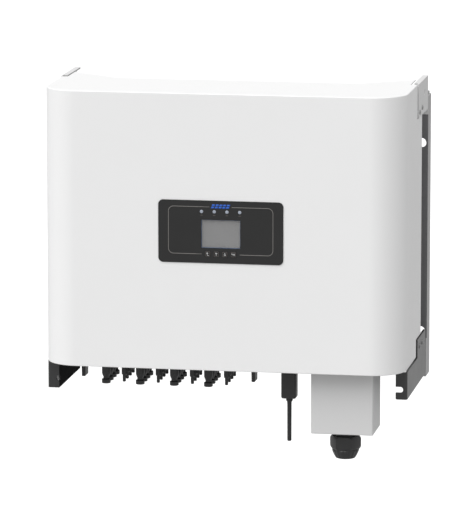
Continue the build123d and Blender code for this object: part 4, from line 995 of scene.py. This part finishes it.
class INVERTER_OT_isolators(bpy.types.Operator):
    """Isolator knobs: a knurled disc, a tapered grip and a pale pointer"""
    bl_idname = "inverter.isolators"
    bl_label = "Isolator knobs"

    def execute(self, context):
        sizes = context.scene.inverter_fittings
        for side in ("left", "right"):
            node = f"isolator_knob_{side}"
            body = f"isolator_{side}"
            centre, low, high = middle_of(node)
            disc_top = middle_of("chassis_box")[1][2] - 0.6 * MM
            disc_low = disc_top - sizes.knob_disc
            r = sizes.knob
            disc = turned([(0, disc_top), (r - 1.5 * MM, disc_top), (r - 0.4 * MM, disc_top - 0.5 * MM),
                           (r, disc_top - 1.5 * MM), (r, disc_low + 2.4 * MM),
                           (r - 0.7 * MM, disc_low + 0.8 * MM),
                           (r - 2.2 * MM, disc_low), (0, disc_low)], 96,
                          ribbed(24, -0.5 * MM, disc_low + 2.2 * MM, disc_top - 1.4 * MM))
            shaft = turned([(0, high[2]), (5 * MM, high[2]), (5 * MM, disc_top), (0, disc_top)], 24)
            t = np.linspace(0, 1, 9)
            waist = 0.8 * MM * np.sin(np.pi * t)
            tip_w, tip_l = sizes.grip_w - 1.9 * MM, sizes.grip_l - 2 * MM
            heights = disc_low + 1 * MM + (low[2] + 1.2 * MM - disc_low - 1 * MM) * t
            widths = sizes.grip_w + (tip_w - sizes.grip_w) * t - waist
            lengths = sizes.grip_l + (tip_l - sizes.grip_l) * t
            sections = [(z, w, l, 2.2 * MM) for z, w, l in zip(heights, widths, lengths)]
            end = [(low[2] + 0.4 * MM, tip_w - 0.9 * MM, tip_l - 0.8 * MM, 1.8 * MM),
                   (low[2], tip_w - 2.4 * MM, tip_l - 2.4 * MM, 1.2 * MM)]
            grip = lofted(sections + end)
            place = over(centre)
            set_piece(f"{node}_turned", moved(joined(disc, shaft, grip), place), "black", body,
                      (node,), 30.0)
            mark = lofted([(low[2] - 0.15 * MM, 1.2 * MM, 7 * MM, 0.5 * MM),
                           (low[2] + 0.3 * MM, 1.2 * MM, 7 * MM, 0.5 * MM)])
            set_piece(f"pointer_{side}", moved(mark, (centre[0], centre[1] - 9 * MM, 0)),
                      "pale_ink", body, slot="part_black")
        return {"FINISHED"}


class INVERTER_OT_logger(bpy.types.Operator):
    """Data logger stick: knurled ring, rounded body and antenna"""
    bl_idname = "inverter.logger"
    bl_label = "Logger stick"

    def execute(self, context):
        sizes = context.scene.inverter_fittings
        centre, low, high = middle_of("logger_ring")
        r = (high[0] - low[0]) / 2
        ring = turned([(0, high[2]), (r - 1 * MM, high[2]), (r, high[2] - 1 * MM), (r, high[2] - 1.6 * MM),
                       (r, low[2] + 1.6 * MM), (r, low[2] + 1 * MM), (r - 1 * MM, low[2]), (0, low[2])], 96,
                      ribbed(24, -0.7 * MM, low[2] + 1.1 * MM, high[2] - 1.1 * MM))
        set_piece("logger_ring_knurled", moved(ring, over(centre)), "black",
                  stands_for=("logger_ring",))
        centre, low, high = middle_of("logger_body")
        w, z0, z1 = sizes.logger_w, low[2], high[2]
        stub_top = middle_of("logger_ring")[1][2]
        side = [(z0, w - 5.0 * MM, w - 5.0 * MM, 3.0 * MM),
                (z0 + 0.5 * MM, w - 2.2 * MM, w - 2.2 * MM, 3.4 * MM),
                (z0 + 2.0 * MM, w - 0.5 * MM, w - 0.5 * MM, 3.6 * MM), (z0 + 3.6 * MM, w, w, 3.6 * MM),
                (stub_top - 7.8 * MM, w, w, 3.6 * MM),
                (stub_top - 7.3 * MM, w - 0.7 * MM, w - 0.7 * MM, 3.4 * MM),
                (stub_top - 6.6 * MM, w - 0.7 * MM, w - 0.7 * MM, 3.4 * MM),
                (stub_top - 6.1 * MM, w, w, 3.6 * MM),
                (stub_top - 1.2 * MM, w, w, 3.6 * MM),
                (stub_top - 0.2 * MM, w - 1.6 * MM, w - 1.6 * MM, 3.2 * MM)]
        neck = turned([(0, stub_top - 1 * MM), (8 * MM, stub_top - 1 * MM), (8 * MM, z1 - 0.6 * MM),
                       (7.4 * MM, z1), (0, z1)], 32)
        shape = moved(joined(lofted(side), neck), over(centre))
        set_piece("logger_stick", shape, "black", stands_for=("logger_body",))
        centre, low, high = middle_of("logger_antenna")
        r, root, z0, z1 = sizes.antenna, sizes.antenna_root, low[2], high[2]
        tip = np.linspace(0, 1, 7) * np.pi / 2
        end = np.stack([r * 0.96 * np.cos(tip), z0 + r * 0.5 * (1 - np.sin(tip))], axis=-1)
        body = [(0, z1), (root, z1), (root, z1 - 4.4 * MM), (root - 0.5 * MM, z1 - 5.4 * MM),
                (r + 0.5 * MM, z1 - 6.4 * MM),
                (r + 0.1 * MM, z1 - 9 * MM), (r, z1 - 14 * MM), (r * 0.96, z0 + 9 * MM)]
        ribs = ribbed(12, -0.35 * MM, z1 - 4.3 * MM, z1 - 0.5 * MM)
        antenna = turned(np.concatenate([body, end]), 40, ribs)
        set_piece("antenna_rod", moved(antenna, over(centre)), "rough_black",
                  stands_for=("logger_antenna",))
        return {"FINISHED"}


class INVERTER_OT_gland(bpy.types.Operator):
    """Cable gland: hexagon body, domed nut with flats and flutes, and a rubber seal"""
    bl_idname = "inverter.gland"
    bl_label = "Cable gland"

    def execute(self, context):
        sizes = context.scene.inverter_fittings
        centre, low, high = middle_of("gland_body")
        _, nut_low, nut_high = middle_of("gland_nut")
        shoulder = middle_of("grid_box")[1][2]
        r, bore, neck = sizes.gland_hex, sizes.gland_bore, sizes.gland_neck
        body = turned([(bore, high[2]), (19.4 * MM, high[2]), (19.4 * MM, shoulder + 0.1 * MM), (r, shoulder),
                       (r, shoulder - 7.6 * MM), (r - 1.2 * MM, shoulder - 8.8 * MM),
                       (neck, shoulder - 9.1 * MM),
                       (neck, low[2]), (bore, low[2]), (bore, high[2])], 72,
                      hexagon_between(r, shoulder - 9 * MM, shoulder + 0.05 * MM))
        place = over(centre)
        set_piece("gland_hexagon", moved(body, place), "black", stands_for=("gland_body",))
        nut = gland_nut(sizes, nut_low[2], nut_high[2])
        set_piece("gland_dome_nut", moved(nut, place), "black", stands_for=("gland_nut",),
                  crease=24.0)
        _, seal_low, seal_high = middle_of("gland_seal")
        outer, bore = sizes.gland_bore - 0.1 * MM, sizes.seal_bore
        lips = np.linspace(0, 1, 25)
        wave = bore + 0.35 * MM * (1 - np.cos(lips * 8 * np.pi)) / 2
        inner = np.stack([wave, seal_low[2] + (seal_high[2] - seal_low[2]) * lips], axis=-1)
        ring = np.concatenate([inner, [[outer, seal_high[2]], [outer, seal_low[2] + 1 * MM],
                                       [outer - 1 * MM, seal_low[2]], [bore, seal_low[2]]]])
        set_piece("gland_rubber", moved(turned(ring, 48), place), "rubber",
                  stands_for=("gland_seal",))
        return {"FINISHED"}


def hexagon_between(corner_radius, low, high):
    """Six flats only between two heights and near the full radius."""
    flats = six_sided(corner_radius)

    def swell(angle, height):
        return flats(angle, height) * ((height > low - 1e-6) & (height < high))
    return swell


def gland_nut(sizes, low, high):
    """Domed nut: a barrel with six flats that fade out above and below, a shoulder that curves in, a fluted
    cone and a rolled mouth round the opening. The flats are the hexagon swell times a bump that is 1 in the
    middle of the barrel, and the flutes are cos(18 a) on the cone."""
    r, mouth, bore = sizes.gland_nut, sizes.gland_mouth, sizes.gland_bore
    cone_top = high - 23 * MM
    inside_r = sizes.gland_neck + 0.2 * MM
    barrel = np.array([(inside_r, high), (r - 3.4 * MM, high), (r - 0.6 * MM, high - 3.0 * MM),
                       (r, high - 5 * MM),
                       (r, high - 12 * MM), (r, cone_top + 5 * MM), (r - 0.7 * MM, cone_top + 2 * MM),
                       (r - 2.6 * MM, cone_top - 0.6 * MM), (r - 3.4 * MM, cone_top - 1.2 * MM)])
    t = np.linspace(0, 1, 8)[1:]
    cone = np.stack([(r - 3.4 * MM) + (mouth + 0.6 * MM - r + 3.4 * MM) * t ** 1.25,
                     cone_top - 1.2 * MM + (low + 1.2 * MM - cone_top + 1.2 * MM) * t], axis=-1)
    lip = np.array([(mouth, low + 0.3 * MM), (mouth - 0.8 * MM, low), (bore + 0.4 * MM, low),
                    (bore, low + 0.6 * MM),
                    (bore, low + 6 * MM), (bore, cone_top), (inside_r, cone_top + 3 * MM), (inside_r, high)])
    flats = six_sided(r)

    def swell(angle, height):
        middle = (high + cone_top + 2 * MM) / 2
        span = (high - cone_top) / 2
        fade = np.clip(1.25 - np.abs(height - middle) / span * 0.55, 0, 1)
        fade = fade * np.clip((high - height) / (3 * MM), 0, 1)
        on_barrel = height > cone_top - 1.3 * MM
        flute = 0.35 * MM * np.cos(18 * angle) * (~on_barrel & (height > low + 1.5 * MM))
        return flats(angle, height) * 0.72 * fade * on_barrel + flute
    outside = turned(np.concatenate([barrel, cone, lip[:2]]), 108, swell)
    inside = turned(lip[1:], 108)
    return joined(outside, inside)


class INVERTER_OT_fans(bpy.types.Operator):
    """Fan wheels: a domed hub with swept blades"""
    bl_idname = "inverter.fans"
    bl_label = "Fan wheels"

    def execute(self, context):
        sizes = context.scene.inverter_fittings
        for place in ("left", "middle", "right"):
            node = f"fan_wheel_{place}"
            centre, low, high = middle_of(node)
            hub = turned([(0, high[2]), (sizes.hub - 1.4 * MM, high[2]),
                          (sizes.hub - 0.4 * MM, high[2] - 0.4 * MM),
                          (sizes.hub, high[2] - 1.4 * MM), (sizes.hub, low[2] + 4 * MM),
                          (2.0 * MM, low[2] + 4 * MM),
                          (2.0 * MM, low[2]), (0, low[2])], 48)
            blades = fan_blades(sizes, (high[0] - low[0]) / 2, low[2] + 4.5 * MM, high[2] - 1 * MM)
            wheel = moved(joined(hub, *blades), over(centre))
            set_piece(f"{node}_swept", wheel, "black", f"fan_{place}", (node,))
        paint("rough_black", "fan_frames")
        return {"FINISHED"}


def fan_blades(sizes, tip, low, high):
    """Blades as closed skins: along the blade the radius runs from the hub to the tip, and round it an
    ellipse gives the chord and thickness. The chord turns about the wheel as it rises, and sweeps back
    towards the tip."""
    u = np.linspace(0, 1, 9)[:, None]
    v = np.linspace(0, 2 * np.pi, BLADE_SIDES, endpoint=False)[None]
    radius = sizes.hub - 0.6 * MM + (tip - sizes.hub + 0.4 * MM) * u
    chord = np.cos(v) * (0.40 - 0.08 * u)
    rise = np.cos(v) * (high - low) / 2 * (1 - 0.25 * u) + np.sin(v) * 0.7 * MM
    angle = chord + 0.28 * u ** 2 - np.sin(v) * 0.025
    skins = []
    for start in np.arange(sizes.blades) * 2 * np.pi / sizes.blades:
        points = np.stack([radius * np.cos(angle + start), radius * np.sin(angle + start),
                           (low + high) / 2 + rise + u * 0], axis=-1)
        root, end = points[:1].mean(axis=1, keepdims=True), points[-1:].mean(axis=1, keepdims=True)
        closed = np.concatenate([np.repeat(root, BLADE_SIDES, 1), points, np.repeat(end, BLADE_SIDES, 1)])
        skins.append(grid(closed, wrap_cols=True))
    return skins


class INVERTER_OT_hardware(bpy.types.Operator):
    """Heat sink, screws, rivets, valve, electronics and seals in their finishes"""
    bl_idname = "inverter.hardware"
    bl_label = "Hardware and insides"

    def execute(self, context):
        paint("aluminium", "heat_sink")
        paint("steel", "bracket_rivets", "lock_screws", "earth_stud")
        paint("dark_steel", "side_screws")
        paint("black", "vent_valve", "gland_locknut", "socket_nuts")
        paint("rough_black", "isolator_blocks", "power_modules", "grid_relays")
        paint("board", "power_board", "control_board", "display_board")
        paint("sleeve", "link_capacitors", "surge_arresters")
        paint("potting", "boost_chokes", "filter_chokes")
        paint("terminal", "grid_terminals")
        paint("rubber", "box_gasket", "lid_gasket")
        return {"FINISHED"}


class INVERTER_OT_studio(bpy.types.Operator):
    """Floor, lights, surround and camera"""
    bl_idname = "inverter.studio"
    bl_label = "Studio"

    def execute(self, context):
        settings = context.scene.inverter_studio
        scene = context.scene
        floor_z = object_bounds()[0].z - settings.floor_drop
        half = settings.floor_size / 2
        line = np.linspace(-half, half, 9)
        x, y = np.meshgrid(line, line)
        points, quads = grid(np.stack([x, y, x * 0 + floor_z], axis=-1))
        mesh = bpy.data.meshes.new("floor")
        mesh.from_pydata(points.tolist(), [], quads.tolist())
        mesh.materials.append(pale_floor("pale_floor", (0.9, 0.9, 0.9), settings.floor_dim))
        floor = bpy.data.objects.new("floor", mesh)
        scene.collection.objects.link(floor)
        floor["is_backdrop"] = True

        add_sun(scene, "key_light", (-0.50, -0.62, 0.98), settings.key_light, 60)
        add_sun(scene, "fill_light", (0.80, -1.0, 0.12), settings.fill_light, 80)
        add_sun(scene, "top_light", (0.0, 0.0, 1.0), settings.top_light, 40)
        add_sun(scene, "left_light", (-1.0, -0.3, 0.1), settings.left_light, 50)

        world = bpy.data.worlds.new("studio_surround")
        world.use_nodes = True
        scene.world = world
        tree = world.node_tree
        tree.nodes.clear()
        path = tree.nodes.new("ShaderNodeLightPath")
        seen = tree.nodes.new("ShaderNodeBackground")
        lit = tree.nodes.new("ShaderNodeBackground")
        both = tree.nodes.new("ShaderNodeMixShader")
        output = tree.nodes.new("ShaderNodeOutputWorld")
        seen.inputs["Color"].default_value = lit.inputs["Color"].default_value = (1.0, 1.0, 1.0, 1.0)
        seen.inputs["Strength"].default_value = 1.0
        lit.inputs["Strength"].default_value = settings.surround
        tree.links.new(path.outputs["Is Camera Ray"], both.inputs[0])
        tree.links.new(lit.outputs[0], both.inputs[1])
        tree.links.new(seen.outputs[0], both.inputs[2])
        tree.links.new(both.outputs[0], output.inputs["Surface"])

        camera = bpy.data.cameras.new("camera")
        camera.lens = settings.lens
        camera.sensor_width = 36.0
        camera.clip_end = 200.0
        holder = bpy.data.objects.new("camera", camera)
        holder.location = settings.camera_place
        heading = Vector(settings.camera_heading)
        holder.rotation_mode = "QUATERNION"
        holder.rotation_quaternion = heading.to_track_quat("-Z", "Y")
        scene.collection.objects.link(holder)
        scene.camera = holder
        scene.view_settings.view_transform = "Standard"
        return {"FINISHED"}


def add_sun(scene, name, towards, strength, spread):
    """A wide, soft, even light from a direction."""
    light = bpy.data.lights.new(name, "SUN")
    light.energy = strength
    light.angle = math.radians(spread)
    holder = bpy.data.objects.new(name, light)
    holder.rotation_mode = "QUATERNION"
    holder.rotation_quaternion = Vector(towards).to_track_quat("Z", "Y")
    scene.collection.objects.link(holder)


# ---------------------------------------------------------------- sidebar and registration

OPERATORS = (
    INVERTER_OT_cover,
    INVERTER_OT_sheet_metal,
    INVERTER_OT_display,
    INVERTER_OT_keys,
    INVERTER_OT_sockets,
    INVERTER_OT_isolators,
    INVERTER_OT_logger,
    INVERTER_OT_gland,
    INVERTER_OT_fans,
    INVERTER_OT_hardware,
    INVERTER_OT_studio,
)

GROUPS = {
    "inverter_cover": CoverSizes,
    "inverter_sheet": SheetSizes,
    "inverter_display": DisplaySizes,
    "inverter_sockets": SocketSizes,
    "inverter_fittings": FittingSizes,
    "inverter_colours": FinishColours,
    "inverter_studio": StudioSettings,
}


class INVERTER_PT_sidebar(bpy.types.Panel):
    """Lists the inverter's pieces"""
    bl_idname = "INVERTER_PT_sidebar"
    bl_label = "String inverter"
    bl_space_type = "VIEW_3D"
    bl_region_type = "UI"
    bl_category = "Inverter"

    def draw(self, context):
        for operator in OPERATORS:
            self.layout.operator(operator.bl_idname)
        for group, kind in GROUPS.items():
            box = self.layout.box()
            box.label(text=kind.__doc__)
            for name in kind.__annotations__:
                box.prop(getattr(context.scene, group), name)


def register():
    for kind in (*GROUPS.values(), *OPERATORS, INVERTER_PT_sidebar):
        bpy.utils.register_class(kind)
    for group, kind in GROUPS.items():
        setattr(bpy.types.Scene, group, PointerProperty(type=kind))


def unregister():
    for group in GROUPS:
        delattr(bpy.types.Scene, group)
    for kind in reversed((*GROUPS.values(), *OPERATORS, INVERTER_PT_sidebar)):
        bpy.utils.unregister_class(kind)


def main():
    register()
    make_finishes()
    bpy.ops.inverter.cover()
    bpy.ops.inverter.sheet_metal()
    bpy.ops.inverter.display()
    bpy.ops.inverter.keys()
    bpy.ops.inverter.sockets()
    bpy.ops.inverter.isolators()
    bpy.ops.inverter.logger()
    bpy.ops.inverter.gland()
    bpy.ops.inverter.fans()
    bpy.ops.inverter.hardware()
    bpy.ops.inverter.studio()


if __name__ == "__main__":
    main()
